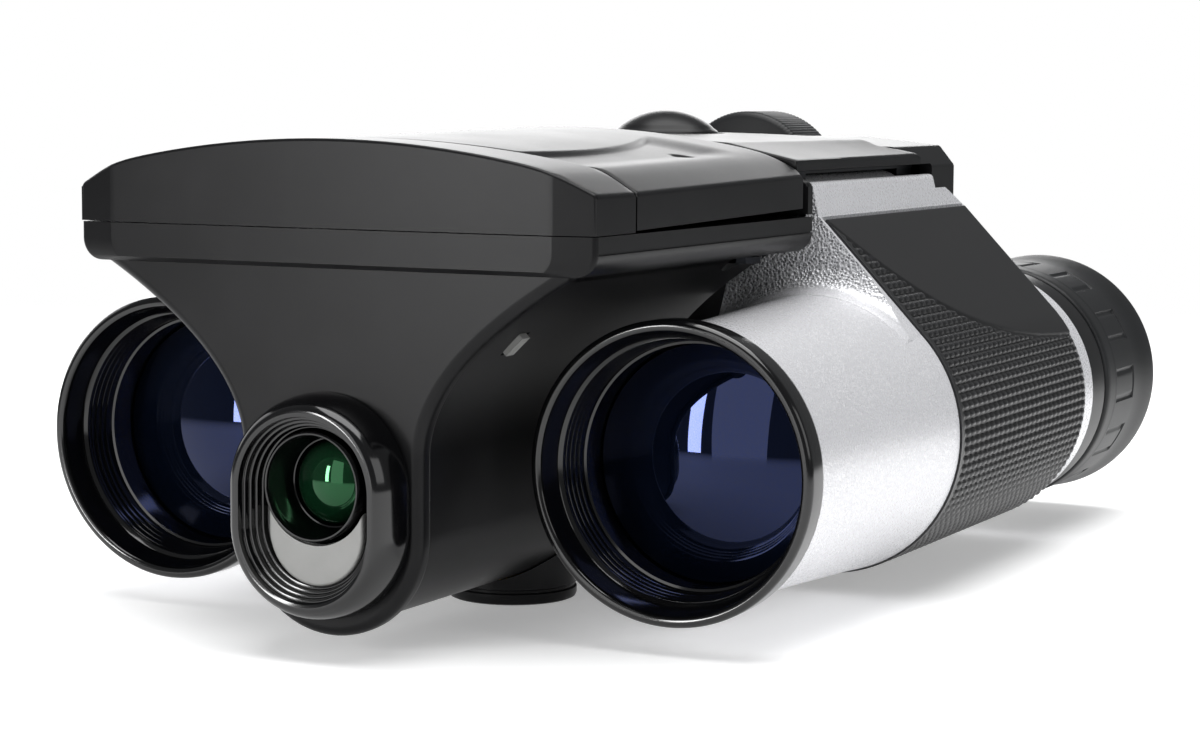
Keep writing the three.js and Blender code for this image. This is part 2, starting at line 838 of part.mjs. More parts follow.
function neckRing(centre) {
  const profile = [
    [13.05, BARREL_END_Y + GAP],
    [15.2, BARREL_END_Y + GAP],
    [15.2, 100.9],
    [14.9, 101.3],
    [13.05, 101.3],
  ];
  return turned("Y", profile, centre);
}

function eyecup(centre) {
  const [front, rear] = EYECUP_Y;
  const profile = [
    [13.9, front],
    [15.1, front],
    [15.3, front + 0.4],
    [15.35, 112],
    [15.9, 119.5],
    [16, rear - 1.2],
    [15.5, rear - 0.2],
    [14.9, rear],
    [12.6, rear],
    [11.8, rear - 0.7],
    [11.8, rear - 1.9],
    [13.9, 117.6],
  ];
  return turned("Y", profile, centre);
}

function buildBarrel(parent, side) {
  const label = side > 0 ? "left" : "right";
  const centre = [side * BARREL_X, 0];
  const make = (name, body, material) => piece(parent, `${label}_${name}`, body, material);
  make("barrel_shell", barrelShell(side), SILVER);
  make("grip", barrelGrip(side), RUBBER);
  make("objective_ring", objectiveRing(centre), GLOSS);
  make("objective_lens", objectiveLens(centre), GLASS_BLUE);
  make("focus_cell", ring("Y", 9.7, 13.2, 25.5, 31.5, centre, FINE), BLACK);
  make("focus_lens", ring("Y", 0, 9.5, 27, 30, centre, FINE), GLASS);
  make("roof_prism", roofPrism(centre), GLASS);
  make("pechan_prism", pechanPrism(centre), GLASS);
  make("ocular_tube", ocularTube(centre), BLACK);
  make("eye_lens", eyeLens(centre), GLASS);
  make(side > 0 ? "neck_ring" : "diopter_ring", neckRing(centre), GLOSS);
  make("eyecup_carrier", ring("Y", 12.95, 13.7, 103, 111, centre), GLOSS);
  make("eyecup", eyecup(centre), RUBBER);
  make("hinge_pin", rod("Y", PIN_R, 40, 80.5, [side * PIN_X, PIN_Z]), STEEL);
}

function buildHousing(parent) {
  piece(parent, "lower_shell", lowerShell(), BLACK);
  piece(parent, "front_hood", frontHood(), BLACK);
  piece(parent, "control_deck", controlDeck(), BLACK);
  piece(parent, "spine_cover", spineCover(), BLACK);
  piece(parent, "rear_cap", rearCap(), BLACK);
  piece(parent, "hinge_bridge", hingeBridge(), STEEL);
  piece(parent, "camera_bezel", cameraBezel(), GLOSS);
  piece(parent, "bezel_plate", bezelPlate(), GREY);
  piece(parent, "camera_barrel", cameraBarrel(), GLOSS);
  piece(parent, "camera_lens", cameraLens(), GLASS_GREEN);
  piece(parent, "sensor_board", block([-7, 7], [-1.4, 0.2], [-6, 7]), BOARD);
  piece(parent, "main_board", mainBoard(), BOARD);
  piece(parent, "indicator_window", indicatorBlock(0), GREY);
  piece(parent, "tripod_foot", tripodFoot(), BLACK);
  piece(parent, "tripod_nut", ring("Z", 3.1, 4.1, -18.1, -13.2, [0, FOOT.y], FINE), BRASS);
  piece(parent, "upper_battery", rod("Y", 5.2, ...BATTERY_Y, [0, 1.3]), CELL);
  piece(parent, "lower_battery", rod("Y", 5.2, ...BATTERY_Y, [0, -9.4]), CELL);
  piece(parent, "battery_door", bayDoor(), BLACK);
  for (const [i, [x, y]] of CASE_SCREWS.entries()) {
    const profile = [
      [0, WING_BOTTOM - 1],
      [2, WING_BOTTOM - 1],
      [2, WING_BOTTOM - 0.3],
      [0.85, WING_BOTTOM - 0.3],
      [0.85, 23.6],
      [0, 23.6],
    ];
    piece(parent, `case_screw_${i + 1}`, turned("Z", profile, [x, y], 12), STEEL);
  }
}

function buildControls(parent) {
  const wheelProfile = [
    [0, WHEEL.y[0]],
    [WHEEL.r - 0.6, WHEEL.y[0]],
    [WHEEL.r, WHEEL.y[0] + 0.6],
    [WHEEL.r, WHEEL.y[1] - 1.2],
    [WHEEL.r - 1.2, WHEEL.y[1]],
    [0, WHEEL.y[1]],
  ];
  const wheelCentre = [0, WHEEL.z];
  const wheelBore = rod("Y", WHEEL.shaft + 0.1, 80, 96, wheelCentre);
  piece(parent, "focus_wheel", turned("Y", wheelProfile, wheelCentre).subtract(wheelBore), RUBBER);
  piece(parent, "focus_shaft", rod("Y", WHEEL.shaft, 67.5, 95.7, wheelCentre), STEEL);
  const carriage = block([-9, 9], [71, 76], [22.4, 28.2]);
  const carriageBore = rod("Y", WHEEL.shaft + 0.06, 60, 80, wheelCentre);
  piece(parent, "focus_carriage", carriage.subtract(carriageBore), BRASS);
  piece(parent, "shutter_button", shutterButton(), GLOSS);
  for (const [name, x, y] of BUTTONS) piece(parent, name, smallButton(x, y), GREY);
}

function buildLid(parent) {
  piece(parent, "lid_cover", lidCover(), BLACK);
  piece(parent, "screen_bezel", screenBezel(), GLOSS);
  piece(parent, "screen_panel", screenPanel(), SCREEN);
  piece(parent, "lid_hinge_pin", rod("X", LID_HINGE.r, -13.5, 13.5, [LID_HINGE.y, LID_HINGE.z], 12), STEEL);
}

// ---------------------------------------------------------------- assembly
const group = new THREE.Group();
const placed = new THREE.Group();
placed.position.set(0, -LENGTH_MID, -FOOT.z);
group.add(placed);
buildHousing(placed);
buildControls(placed);
buildLid(placed);
for (const side of [1, -1]) {
  buildBarrel(placed, side);
}

export default group;
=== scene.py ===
"""Looks of the camera binoculars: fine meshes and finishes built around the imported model.

Pieces are drawn in millimetres in the maker's drawing frame, whose origin lies midway between the barrel
axes in the plane of the objective rims, and are placed in the row frame in metres by the Datum.
"""

import json
import logging
import math
from dataclasses import dataclass, field
from enum import Enum
from typing import Callable, Iterable, Sequence

import bmesh
import bpy
from mathutils import Matrix, Vector


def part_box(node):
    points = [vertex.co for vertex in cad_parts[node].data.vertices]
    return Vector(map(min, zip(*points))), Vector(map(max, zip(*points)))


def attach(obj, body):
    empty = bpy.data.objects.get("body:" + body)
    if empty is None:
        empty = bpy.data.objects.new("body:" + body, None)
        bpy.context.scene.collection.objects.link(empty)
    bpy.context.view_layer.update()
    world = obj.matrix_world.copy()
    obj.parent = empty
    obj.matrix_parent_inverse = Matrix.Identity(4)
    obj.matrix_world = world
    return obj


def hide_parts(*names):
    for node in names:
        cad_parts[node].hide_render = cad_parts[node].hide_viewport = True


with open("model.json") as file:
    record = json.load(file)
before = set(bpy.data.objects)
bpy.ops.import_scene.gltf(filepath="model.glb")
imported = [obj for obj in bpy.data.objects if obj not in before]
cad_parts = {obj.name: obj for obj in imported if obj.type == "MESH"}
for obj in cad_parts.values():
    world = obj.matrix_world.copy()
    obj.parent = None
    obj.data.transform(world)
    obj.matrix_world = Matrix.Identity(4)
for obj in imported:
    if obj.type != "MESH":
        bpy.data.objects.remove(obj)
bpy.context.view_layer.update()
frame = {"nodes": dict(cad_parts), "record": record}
LOG = logging.getLogger("binoculars")

Pair = tuple[float, float]
Triple = tuple[float, float, float]
MM = 0.001


# ---------------------------------------------------------------- drawing frame
@dataclass(frozen=True)
class Datum:
    """Where the drawing frame sits in the row frame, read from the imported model."""

    rim_y: float
    axis_z: float
    barrel_x: float

    @classmethod
    def from_frame(cls) -> "Datum":
        """Read the datum from the left objective ring."""
        low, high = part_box("left_objective_ring")
        return cls(rim_y=low.y, axis_z=(low.z + high.z) / 2, barrel_x=(low.x + high.x) / 2)

    def place(self, point: Triple) -> Triple:
        """Turn a drawing point in millimetres into a row frame point in metres."""
        return (point[0] * MM, point[1] * MM + self.rim_y, point[2] * MM + self.axis_z)


DATUM = Datum.from_frame()
BARREL_X = DATUM.barrel_x / MM


# ---------------------------------------------------------------- shader expressions
class Term:
    """A value in a material's node tree, with arithmetic that adds Math nodes."""

    def __init__(self, tree: "Tree", socket: bpy.types.NodeSocket) -> None:
        """Wrap one output socket of a tree."""
        self.tree = tree
        self.socket = socket

    def _math(self, operation: str, *values: "Term | float") -> "Term":
        """Add one Math node that takes the given values in order."""
        return self.tree.add("ShaderNodeMath", {"operation": operation}, dict(enumerate(values)))

    def __add__(self, other: "Term | float") -> "Term":
        """Sum."""
        return self._math("ADD", self, other)

    def __sub__(self, other: "Term | float") -> "Term":
        """Difference."""
        return self._math("SUBTRACT", self, other)

    def __rsub__(self, other: "Term | float") -> "Term":
        """Difference from a number."""
        return self._math("SUBTRACT", other, self)

    def __mul__(self, other: "Term | float") -> "Term":
        """Product."""
        return self._math("MULTIPLY", self, other)

    def __pow__(self, other: "Term | float") -> "Term":
        """Power."""
        return self._math("POWER", self, other)

    __radd__ = __add__
    __rmul__ = __mul__

    def above(self, low: float, high: float) -> "Term":
        """Rise smoothly from 0 at low to 1 at high.

        Args:
            low: Value where the step starts.
            high: Value where the step is complete.

        Returns:
            The step as a new value.
        """
        settings = {"interpolation_type": "SMOOTHSTEP"}
        values = {"Value": self, "From Min": low, "From Max": high}
        return self.tree.add("ShaderNodeMapRange", settings, values)


class Tree:
    """One material's node tree, with a single method that adds nodes."""

    def __init__(self, name: str) -> None:
        """Start an empty material of this name with its principled shader and object coordinates.

        Args:
            name: Name that is given.
        """
        self.material = bpy.data.materials.new(name)
        self.material.use_nodes = True
        self.nodes = self.material.node_tree.nodes
        self.links = self.material.node_tree.links
        self.nodes.clear()
        self.output = self.nodes.new("ShaderNodeOutputMaterial")
        self.shader = self.nodes.new("ShaderNodeBsdfPrincipled")
        self.links.new(self.shader.outputs[0], self.output.inputs["Surface"])
        self.place = self.add("ShaderNodeTexCoord", {}, {}, output="Object")

    def add(self, kind: str, settings: dict, inputs: dict, output: str | int = 0) -> Term:
        """Add a node.

        Args:
            kind: The node's type.
            settings: Attributes that are set first.
            inputs: Socket name or number to a number, a tuple or a Term.
            output: Which output is wanted.

        Returns:
            The wanted output.
        """
        node = self.nodes.new(kind)
        for key, value in settings.items():
            setattr(node, key, value)
        for key, value in inputs.items():
            self.feed(node.inputs[key], value)
        return Term(self, node.outputs[output])

    def feed(self, socket: bpy.types.NodeSocket, value: "Term | float | tuple") -> None:
        """Link or set one input socket.

        Args:
            socket: The input socket.
            value: A Term, or a plain number or colour.
        """
        if isinstance(value, Term):
            self.links.new(value.socket, socket)
        else:
            socket.default_value = value

    def noise(self, size_mm: float, detail: float = 3.0, roughness: float = 0.5) -> Term:
        """Noise whose lumps are about the given size."""
        values = {"Vector": self.place, "Scale": 1 / (size_mm * MM), "Detail": detail, "Roughness": roughness}
        return self.add("ShaderNodeTexNoise", {}, values)

    def cells(self, size_mm: float, output: str = "Distance") -> Term:
        """Voronoi cells of about the given size."""
        values = {"Vector": self.place, "Scale": 1 / (size_mm * MM)}
        return self.add("ShaderNodeTexVoronoi", {}, values, output)

    def axis(self, name: str) -> Term:
        """One object coordinate, in metres in the row frame."""
        return self.add("ShaderNodeSeparateXYZ", {}, {0: self.place}, output=name)

    def blend(self, share: "Term | float", first: "Term | tuple", second: "Term | tuple") -> Term:
        """Mix two colours.

        Args:
            share: How much of the second colour shows.
            first: The first colour.
            second: The second colour.

        Returns:
            The blended colour.
        """
        node = self.nodes.new("ShaderNodeMix")
        node.data_type = "RGBA"
        self.feed(node.inputs["Factor"], share)
        self.feed(node.inputs[6], first)
        self.feed(node.inputs[7], second)
        return Term(self, node.outputs[2])

    def set(self, **values: "Term | float | tuple") -> None:
        """Set or link the principled shader's sockets; underscores stand for spaces."""
        for key, value in values.items():
            self.feed(self.shader.inputs[key.replace("_", " ")], value)

    def bump(self, height: Term, depth_mm: float, strength: float = 1.0) -> Term:
        """Tilt the surface by a height of the given depth."""
        values = {"Height": height, "Distance": depth_mm * MM, "Strength": strength}
        return self.add("ShaderNodeBump", {}, values)


def rgba(hexadecimal: int, alpha: float = 1.0) -> tuple[float, float, float, float]:
    """Turn a display colour such as 0x232323 into a linear one.

    Args:
        hexadecimal: The colour, two digits for each part.
        alpha: Its alpha.

    Returns:
        The linear colour with its alpha.
    """
    parts = [((hexadecimal >> shift) & 255) / 255 for shift in (16, 8, 0)]
    linear = [p / 12.92 if p <= 0.04045 else ((p + 0.055) / 1.055) ** 2.4 for p in parts]
    return (*linear, alpha)


# ---------------------------------------------------------------- finishes
@dataclass(frozen=True)
class Finish:
    """A plain finish: colour with fine variation, roughness with wear, and a small grain."""

    name: str
    color: int
    second: int
    roughness: float = 0.45
    spread: float = 0.08
    metallic: float = 0.0
    grain_mm: float = 0.25
    depth_mm: float = 0.01
    coat: float = 0.0
    specular: float = 0.5

    def build(self) -> bpy.types.Material:
        """Make the material.

        Returns:
            The material, with its shader and grain.
        """
        tree = Tree(self.name)
        broad = tree.noise(9.0, 4.0)
        fine = tree.noise(self.grain_mm, 2.0)
        tree.set(Base_Color=tree.blend(broad.above(0.3, 0.7), rgba(self.color), rgba(self.second)))
        tree.set(Metallic=self.metallic, Coat_Weight=self.coat, Coat_Roughness=0.03)
        tree.set(Specular_IOR_Level=self.specular)
        tree.set(Roughness=self.roughness + (broad - 0.5) * self.spread + (fine - 0.5) * self.spread)
        tree.set(Normal=tree.bump(fine, self.depth_mm))
        return self.finished(tree)

    def finished(self, tree: Tree) -> bpy.types.Material:
        """Hand over the material; a finish with more to say adds it here."""
        return tree.material


@dataclass(frozen=True)
class SparkPaint(Finish):
    """Silver paint with bright flakes, and a coarse cast texture on the shoulder in front of the grip, with
    painted shade in the pits between its lumps.
    """

    flake_mm: float = 0.16
    cast_mm: float = 0.34

    def finished(self, tree: Tree) -> bpy.types.Material:
        """Add the flakes, and the cast texture with painted shade in its pits.

        Args:
            tree: The tree, with the plain finish in it.

        Returns:
            The material.
        """
        flakes = tree.cells(self.flake_mm, "Color")
        flake = tree.add("ShaderNodeSeparateColor", {}, {0: flakes}).above(0.55, 1.0)
        facing = tree.add("ShaderNodeTexCoord", {}, {}, output="Normal")
        forward = tree.add("ShaderNodeSeparateXYZ", {}, {0: facing}, output="Y") * -1
        start = DATUM.axis_z + 12 * MM
        cast = forward.above(0.35, 0.85) * tree.axis("Z").above(start, start + 3 * MM)
        lumps = tree.cells(self.cast_mm)
        smooth = tree.noise(self.grain_mm, 2.0)
        tone = tree.blend(flake * 0.55, rgba(self.color), rgba(0xF4F5F7))
        # Painted shade: the pits of the cast texture are darkened towards 0x3A3C42.
        dark = tree.blend(cast * (1 - lumps.above(0.05, 0.5)) * 0.9, tone, rgba(0x3A3C42))
        tree.set(Base_Color=dark)
        tree.set(Roughness=self.roughness + flake * -0.12 + cast * 0.1)
        relief = tree.bump(smooth + flake * 0.6, self.depth_mm)
        lumpy = tree.add(
            "ShaderNodeBump",
            {},
            {"Height": lumps * cast, "Distance": 0.24 * MM, "Strength": 1.0, "Normal": relief},
        )
        tree.set(Normal=lumpy)
        return tree.material


@dataclass(frozen=True)
class Knurled(Finish):
    """Grip rubber: painted shade in the grooves between the beads, and a painted highlight on their tops."""

    def finished(self, tree: Tree) -> bpy.types.Material:
        """Add a painted highlight and polish on the raised parts.

        Args:
            tree: The tree, with the plain finish in it.

        Returns:
            The material.
        """
        point = tree.add("ShaderNodeNewGeometry", {}, {}, output="Pointiness")
        tops = point.above(0.5, 0.56)
        # Painted highlight on the bead tops and painted shade in the grooves, chosen by curvature; the lower
        # roughness on the tops is real polish.
        tree.set(Base_Color=tree.blend(tops, rgba(self.color), rgba(self.second)))
        tree.set(Roughness=self.roughness - tops * 0.12)
        return tree.material


@dataclass(frozen=True)
class CoatedGlass(Finish):
    """A coated lens: dark clear glass over a tinted reflection."""

    tint: int = 0x0E4EC4

    def finished(self, tree: Tree) -> bpy.types.Material:
        """Tint the reflection under a thin colourless one."""
        tree.set(Specular_Tint=rgba(self.tint), IOR=1.7, Coat_Weight=0.45, Coat_Roughness=0.01, Coat_IOR=1.33)
        return tree.material


@dataclass(frozen=True)
class Display(Finish):
    """A switched-off screen: an even dark field with a faint grid of dots under its window."""

    def finished(self, tree: Tree) -> bpy.types.Material:
        """Add the grid of dots.

        Args:
            tree: The tree, with the plain finish in it.

        Returns:
            The material.
        """
        wave = {"Vector": tree.place, "Scale": 1200.0}
        rows = tree.add("ShaderNodeTexWave", {"bands_direction": "X"}, wave)
        columns = tree.add("ShaderNodeTexWave", {"bands_direction": "Y"}, wave)
        tree.set(Base_Color=tree.blend(rows * columns * 0.5, rgba(self.color), rgba(self.second)))
        return tree.material


class Slot(Enum):
    """The record's material slots, each with its finish."""

    BODY = "body_black"
    GLOSS = "gloss_black"
    SILVER = "silver_paint"
    GRIP = "grip_rubber"
    CUP = "cup_rubber"
    OBJECTIVE = "objective_glass"
    CAMERA = "camera_glass"
    CLEAR = "clear_glass"
    PLATE = "plate_grey"
    STEEL = "steel"
    BRASS = "brass"
    BOARD = "board_green"
    SCREEN = "screen_glass"
    CELL = "cell_wrap"


FINISHES: dict[Slot, Finish] = {
    Slot.BODY: Finish(
        "matt_shell", 0x101011, 0x151516, 0.33, 0.06, grain_mm=0.12, depth_mm=0.004, specular=0.13
    ),
    Slot.GLOSS: Finish("gloss_trim", 0x050506, 0x080809, 0.12, 0.03, grain_mm=0.9, depth_mm=0.001),
    Slot.SILVER: SparkPaint(
        "silver_paint", 0xCFCFD2, 0xDADADD, 0.34, metallic=0.35, grain_mm=0.1, depth_mm=0.012
    ),
    # The second colour, 0x202022, is the painted highlight on the bead tops.
    Slot.GRIP: Knurled(
        "grip_rubber", 0x0F0F10, 0x202022, 0.42, grain_mm=0.1, depth_mm=0.006, specular=0.45
    ),
    Slot.CUP: Finish(
        "cup_rubber", 0x101112, 0x151618, 0.46, 0.08, grain_mm=0.1, depth_mm=0.006, specular=0.3
    ),
    Slot.OBJECTIVE: CoatedGlass("objective_coating", 0x02040B, 0x03060F, 0.02, 0.0, depth_mm=0.0),
    Slot.CAMERA: CoatedGlass("camera_coating", 0x04140A, 0x062010, 0.03, 0.0, depth_mm=0.0, tint=0x4ED07A),
    Slot.CLEAR: CoatedGlass("clear_glass", 0x0A0D10, 0x0D1114, 0.02, 0.0, depth_mm=0.0, tint=0x9A7ACB),
    Slot.PLATE: Finish("grey_trim", 0x7E7E7C, 0x888886, 0.4, 0.06, grain_mm=0.2, depth_mm=0.006),
    Slot.STEEL: Finish("blued_steel", 0x26272A, 0x303236, 0.34, 0.12, 1.0, grain_mm=0.15, depth_mm=0.006),
    Slot.BRASS: Finish("turned_brass", 0xA98642, 0xB8954E, 0.28, 0.1, 1.0, grain_mm=0.2, depth_mm=0.006),
    Slot.BOARD: Finish("solder_mask", 0x1C5733, 0x236A3F, 0.42, 0.1, grain_mm=0.4, depth_mm=0.01),
    Slot.SCREEN: Display("screen_window", 0x06070B, 0x11131B, 0.06, 0.02, depth_mm=0.0, coat=0.6),
    Slot.CELL: Finish("cell_wrap", 0x36435F, 0x404E6E, 0.3, 0.08, grain_mm=0.6, depth_mm=0.008),
}


class Paintbox:
    """Builds each finish once and dresses pieces and carried-over nodes with it."""

    def __init__(self) -> None:
        """Start with no material built."""
        self.made: dict[Slot, bpy.types.Material] = {}

    def material(self, slot: Slot) -> bpy.types.Material:
        """Return the material of a slot, building it the first time.

        Args:
            slot: The slot.

        Returns:
            The material.
        """
        if slot not in self.made:
            self.made[slot] = FINISHES[slot].build()
        return self.made[slot]

    def dress_nodes(self) -> None:
        """Give every carried-over node the finish of its slot."""
        for part in frame["record"]["subparts"]:
            data = frame["nodes"][part["node"]].data
            data.materials.clear()
            data.materials.append(self.material(Slot(part["material_slot"])))


PAINT = Paintbox()


# ---------------------------------------------------------------- mesh work
@dataclass
class Form:
    """Points and faces of one piece in the drawing frame, in millimetres."""

    points: list[Triple] = field(default_factory=list)
    faces: list[tuple[int, ...]] = field(default_factory=list)

    def loft(self, loops: Sequence[Sequence[Triple]], caps: bool = True, ring: bool = False) -> "Form":
        """Join closed loops of equal length.

        Args:
            loops: The loops, in order.
            caps: Whether the first and last loop are filled.
            ring: Whether the last loop joins the first.

        Returns:
            The form itself.
        """
        start = len(self.points)
        count = len(loops[0])
        for loop in loops:
            self.points.extend(loop)
        pairs = [(i, i + 1) for i in range(len(loops) - 1)]
        if ring:
            pairs.append((len(loops) - 1, 0))
        for a, b in pairs:
            for j in range(count):
                k = (j + 1) % count
                quad = (a * count + j, a * count + k, b * count + k, b * count + j)
                self.faces.append(tuple(start + q for q in quad))
        if caps and not ring:
            self.faces.append(tuple(start + j for j in reversed(range(count))))
            last = start + (len(loops) - 1) * count
            self.faces.append(tuple(last + j for j in range(count)))
        return self

    def build(self, name: str) -> bpy.types.Object:
        """Make the object, with its faces turned outwards.

        Args:
            name: The object's name.

        Returns:
            The linked mesh object.
        """
        mesh = bpy.data.meshes.new(name)
        mesh.from_pydata([DATUM.place(p) for p in self.points], [], self.faces)
        mesh.validate()
        obj = bpy.data.objects.new(name, mesh)
        bpy.context.scene.collection.objects.link(obj)
        turn_outwards(mesh)
        return obj


def turn_outwards(mesh: bpy.types.Mesh) -> None:
    """Merge doubled points and point the faces out.

    Args:
        mesh: The mesh, which is changed.
    """
    work = bmesh.new()
    work.from_mesh(mesh)
    bmesh.ops.remove_doubles(work, verts=work.verts, dist=1e-6)
    bmesh.ops.recalc_face_normals(work, faces=work.faces)
    work.to_mesh(mesh)
    work.free()


def revolve(profile: Sequence[Pair], centre: Pair, axis: str = "Y", sides: int = 128) -> Form:
    """Turn a profile about an axis; a profile that starts off the axis closes itself.

    Args:
        profile: Points of (radius, distance).
        centre: Where the axis stands, in the plane across it.
        axis: X, Y or Z.
        sides: Faces round the axis.

    Returns:
        The form.
    """
    tips = profile[0][0] < 1e-6
    loops: list[list[Triple]] = []
    for radius, distance in profile:
        radius = max(radius, 1e-4)
        loop: list[Triple] = []
        for j in range(sides):
            angle = 2 * math.pi * j / sides
            a, b = radius * math.cos(angle), radius * math.sin(angle)
            if axis == "Y":
                loop.append((centre[0] + a, distance, centre[1] + b))
            elif axis == "Z":
                loop.append((centre[0] + a, centre[1] + b, distance))
            else:
                loop.append((distance, centre[0] + a, centre[1] + b))
        loops.append(loop)
    return Form().loft(loops, caps=tips, ring=not tips)


def fillet(profile: Sequence[Pair], radius: float, steps: int = 4, closed: bool = True) -> list[Pair]:
    """Round every corner of an outline.

    Args:
        profile: The outline's corners.
        radius: The wanted radius; a short edge gets a smaller one.
        steps: Points on each arc.
        closed: Whether the last corner joins the first.

    Returns:
        The rounded outline.
    """
    count = len(profile)
    result: list[Pair] = []
    for i, corner in enumerate(profile):
        if not closed and i in (0, count - 1):
            result.append(corner)
            continue
        here = Vector(corner)
        back = Vector(profile[i - 1]) - here
        ahead = Vector(profile[(i + 1) % count]) - here
        turn = back.angle(ahead, 0.0)
        if turn > math.radians(176) or turn < 1e-3:
            result.append(corner)
            continue
        reach = min(radius / math.tan(turn / 2), 0.45 * back.length, 0.45 * ahead.length)
        first, last = here + back.normalized() * reach, here + ahead.normalized() * reach
        for step in range(steps + 1):
            t = step / steps
            blend = (1 - t) ** 2 * first + 2 * t * (1 - t) * here + t * t * last
            result.append((blend.x, blend.y))
    return result


def inset(outline: Sequence[Pair], distance: float) -> list[Pair]:
    """Move a closed outline inwards by a distance, keeping its number of points.

    Args:
        outline: The closed outline.
        distance: How far it moves inwards.

    Returns:
        The outline.
    """
    count = len(outline)
    area = sum(a[0] * b[1] - b[0] * a[1] for a, b in zip(outline, [*outline[1:], outline[0]]))
    sign = 1 if area > 0 else -1
    moved: list[Pair] = []
    for i, point in enumerate(outline):
        before, after = Vector(outline[i - 1]), Vector(outline[(i + 1) % count])
        here = Vector(point)
        into = (here - before).normalized() if (here - before).length > 1e-9 else Vector((0, 0))
        out = (after - here).normalized() if (after - here).length > 1e-9 else into
        along = (into + out).normalized() if (into + out).length > 1e-9 else out
        normal = Vector((-along.y, along.x)) * sign
        stretch = 1 / max(0.5, abs(into.dot(along)))
        moved.append((here.x + normal.x * distance * stretch, here.y + normal.y * distance * stretch))
    return moved


def prism(outline: Sequence[Pair], ends: Pair, axis: str = "Y", rounding: float = 0.0) -> Form:
    """Push a closed outline along an axis, with rounded ends if asked.

    Args:
        outline: Corners in the plane across the axis, in X, Y, Z order.
        ends: Where the prism starts and ends along the axis.
        axis: X, Y or Z.
        rounding: Radius of the edges at both ends.

    Returns:
        The prism's form.
    """
    low, high = ends
    layers: list[tuple[float, float]] = [(low, 0.0), (high, 0.0)]
    if rounding > 0:
        arc = [i * math.pi / 8 for i in range(5)]
        front = [(low + rounding * (1 - math.sin(a)), rounding * (1 - math.cos(a))) for a in reversed(arc)]
        back = [(high - rounding * (1 - math.sin(a)), rounding * (1 - math.cos(a))) for a in arc]
        layers = [*front, *back]
    loops: list[list[Triple]] = []
    for distance, shrink in layers:
        flat = inset(outline, shrink) if shrink > 0 else list(outline)
        if axis == "Y":
            loops.append([(a, distance, b) for a, b in flat])
        elif axis == "X":
            loops.append([(distance, a, b) for a, b in flat])
        else:
            loops.append([(a, b, distance) for a, b in flat])
    return Form().loft(loops)


def cuboid(x: Pair, y: Pair, z: Pair) -> Form:
    """A cutting block between the given limits."""
    return prism([(x[0], z[0]), (x[1], z[0]), (x[1], z[1]), (x[0], z[1])], y)


def rod(radius: float, ends: Pair, centre: Pair, axis: str = "Y", sides: int = 64) -> Form:
    """A cutting rod along an axis."""
    return revolve([(0, ends[0]), (radius, ends[0]), (radius, ends[1]), (0, ends[1])], centre, axis, sides)


class Join(Enum):
    """How a second form acts on the first."""

    ADD = "UNION"
    CUT = "DIFFERENCE"
    KEEP = "INTERSECT"


def combine(obj: bpy.types.Object, how: Join, forms: Iterable["Form | bpy.types.Object"]) -> bpy.types.Object:
    """Apply forms or solids to an object one after another.

    Args:
        obj: The object that is changed.
        how: Whether each form is added, cut away or kept in common.
        forms: The second forms, which are used up.

    Returns:
        The changed object.
    """
    for form in forms:
        tool = form.build("tool") if isinstance(form, Form) else form
        modifier = obj.modifiers.new("join", "BOOLEAN")
        modifier.operation = how.value
        modifier.solver = "MANIFOLD"
        modifier.object = tool
        settle(obj)
        bpy.data.objects.remove(tool)
    return obj


def settle(obj: bpy.types.Object) -> None:
    """Apply an object's modifiers to its mesh.

    Args:
        obj: The object.
    """
    graph = bpy.context.evaluated_depsgraph_get()
    result = bpy.data.meshes.new_from_object(obj.evaluated_get(graph), depsgraph=graph)
    obj.modifiers.clear()
    obj.data = result


def present(
    obj: bpy.types.Object, slot: Slot, body: str, *nodes: str, angle: float = 38.0
) -> bpy.types.Object:
    """Dress a piece, shade it, let it ride on its body and stand for its nodes.

    Args:
        obj: The piece.
        slot: Its finish.
        body: The body that carries it.
        nodes: The nodes that it stands for.
        angle: Edges sharper than this stay sharp.

    Returns:
        The piece.
    """
    obj.name = f"finished_{nodes[0]}"
    obj.data.shade_smooth()
    obj.data.set_sharp_from_angle(angle=math.radians(angle))
    facets = obj.modifiers.new("facets", "WEIGHTED_NORMAL")
    facets.keep_sharp = True
    settle(obj)
    obj.data.materials.clear()
    obj.data.materials.append(PAINT.material(slot))
    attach(obj, body)
    if nodes:
        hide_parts(*nodes)
    LOG.info("%s: %d faces on %s", obj.name, len(obj.data.polygons), body)
    return obj


def spread(low: float, high: float, count: int) -> list[float]:
    """Evenly spaced values from low to high, both included."""
    return [low + (high - low) * i / (count - 1) for i in range(count)]


def smoothstep(low: float, high: float, value: float) -> float:
    """Rise smoothly from 0 to 1 between two values."""
    t = min(1.0, max(0.0, (value - low) / (high - low)))
    return t * t * (3 - 2 * t)


def plate_between(upper: Sequence[Sequence[Triple]], lower: Sequence[Sequence[Triple]]) -> Form:
    """Close a plate between two surfaces with the same columns; the lower one may have fewer rows.

    Args:
        upper: Columns of points on the upper surface.
        lower: Columns of points on the lower surface.

    Returns:
        The closed form.
    """
    form = Form()
    columns, rows, low_rows = len(upper), len(upper[0]), len(lower[0])
    for surface in (upper, lower):
        for column in surface:
            form.points.extend(column)
    base = columns * rows
    for i in range(columns - 1):
        for j in range(rows - 1):
            a, b = i * rows + j, (i + 1) * rows + j
            form.faces.append((a, b, b + 1, a + 1))
        for j in range(low_rows - 1):
            a, b = base + i * low_rows + j, base + (i + 1) * low_rows + j
            form.faces.append((a, a + 1, b + 1, b))
        for j, k in ((0, 0), (rows - 1, low_rows - 1)):
            a, b = i * rows + j, (i + 1) * rows + j
            c, d = base + i * low_rows + k, base + (i + 1) * low_rows + k
            form.faces.append((a, c, d, b))
    for i in (0, columns - 1):
        top = [i * rows + j for j in range(rows)]
        under = [base + i * low_rows + j for j in reversed(range(low_rows))]
        form.faces.append((*top, *under))
    return form


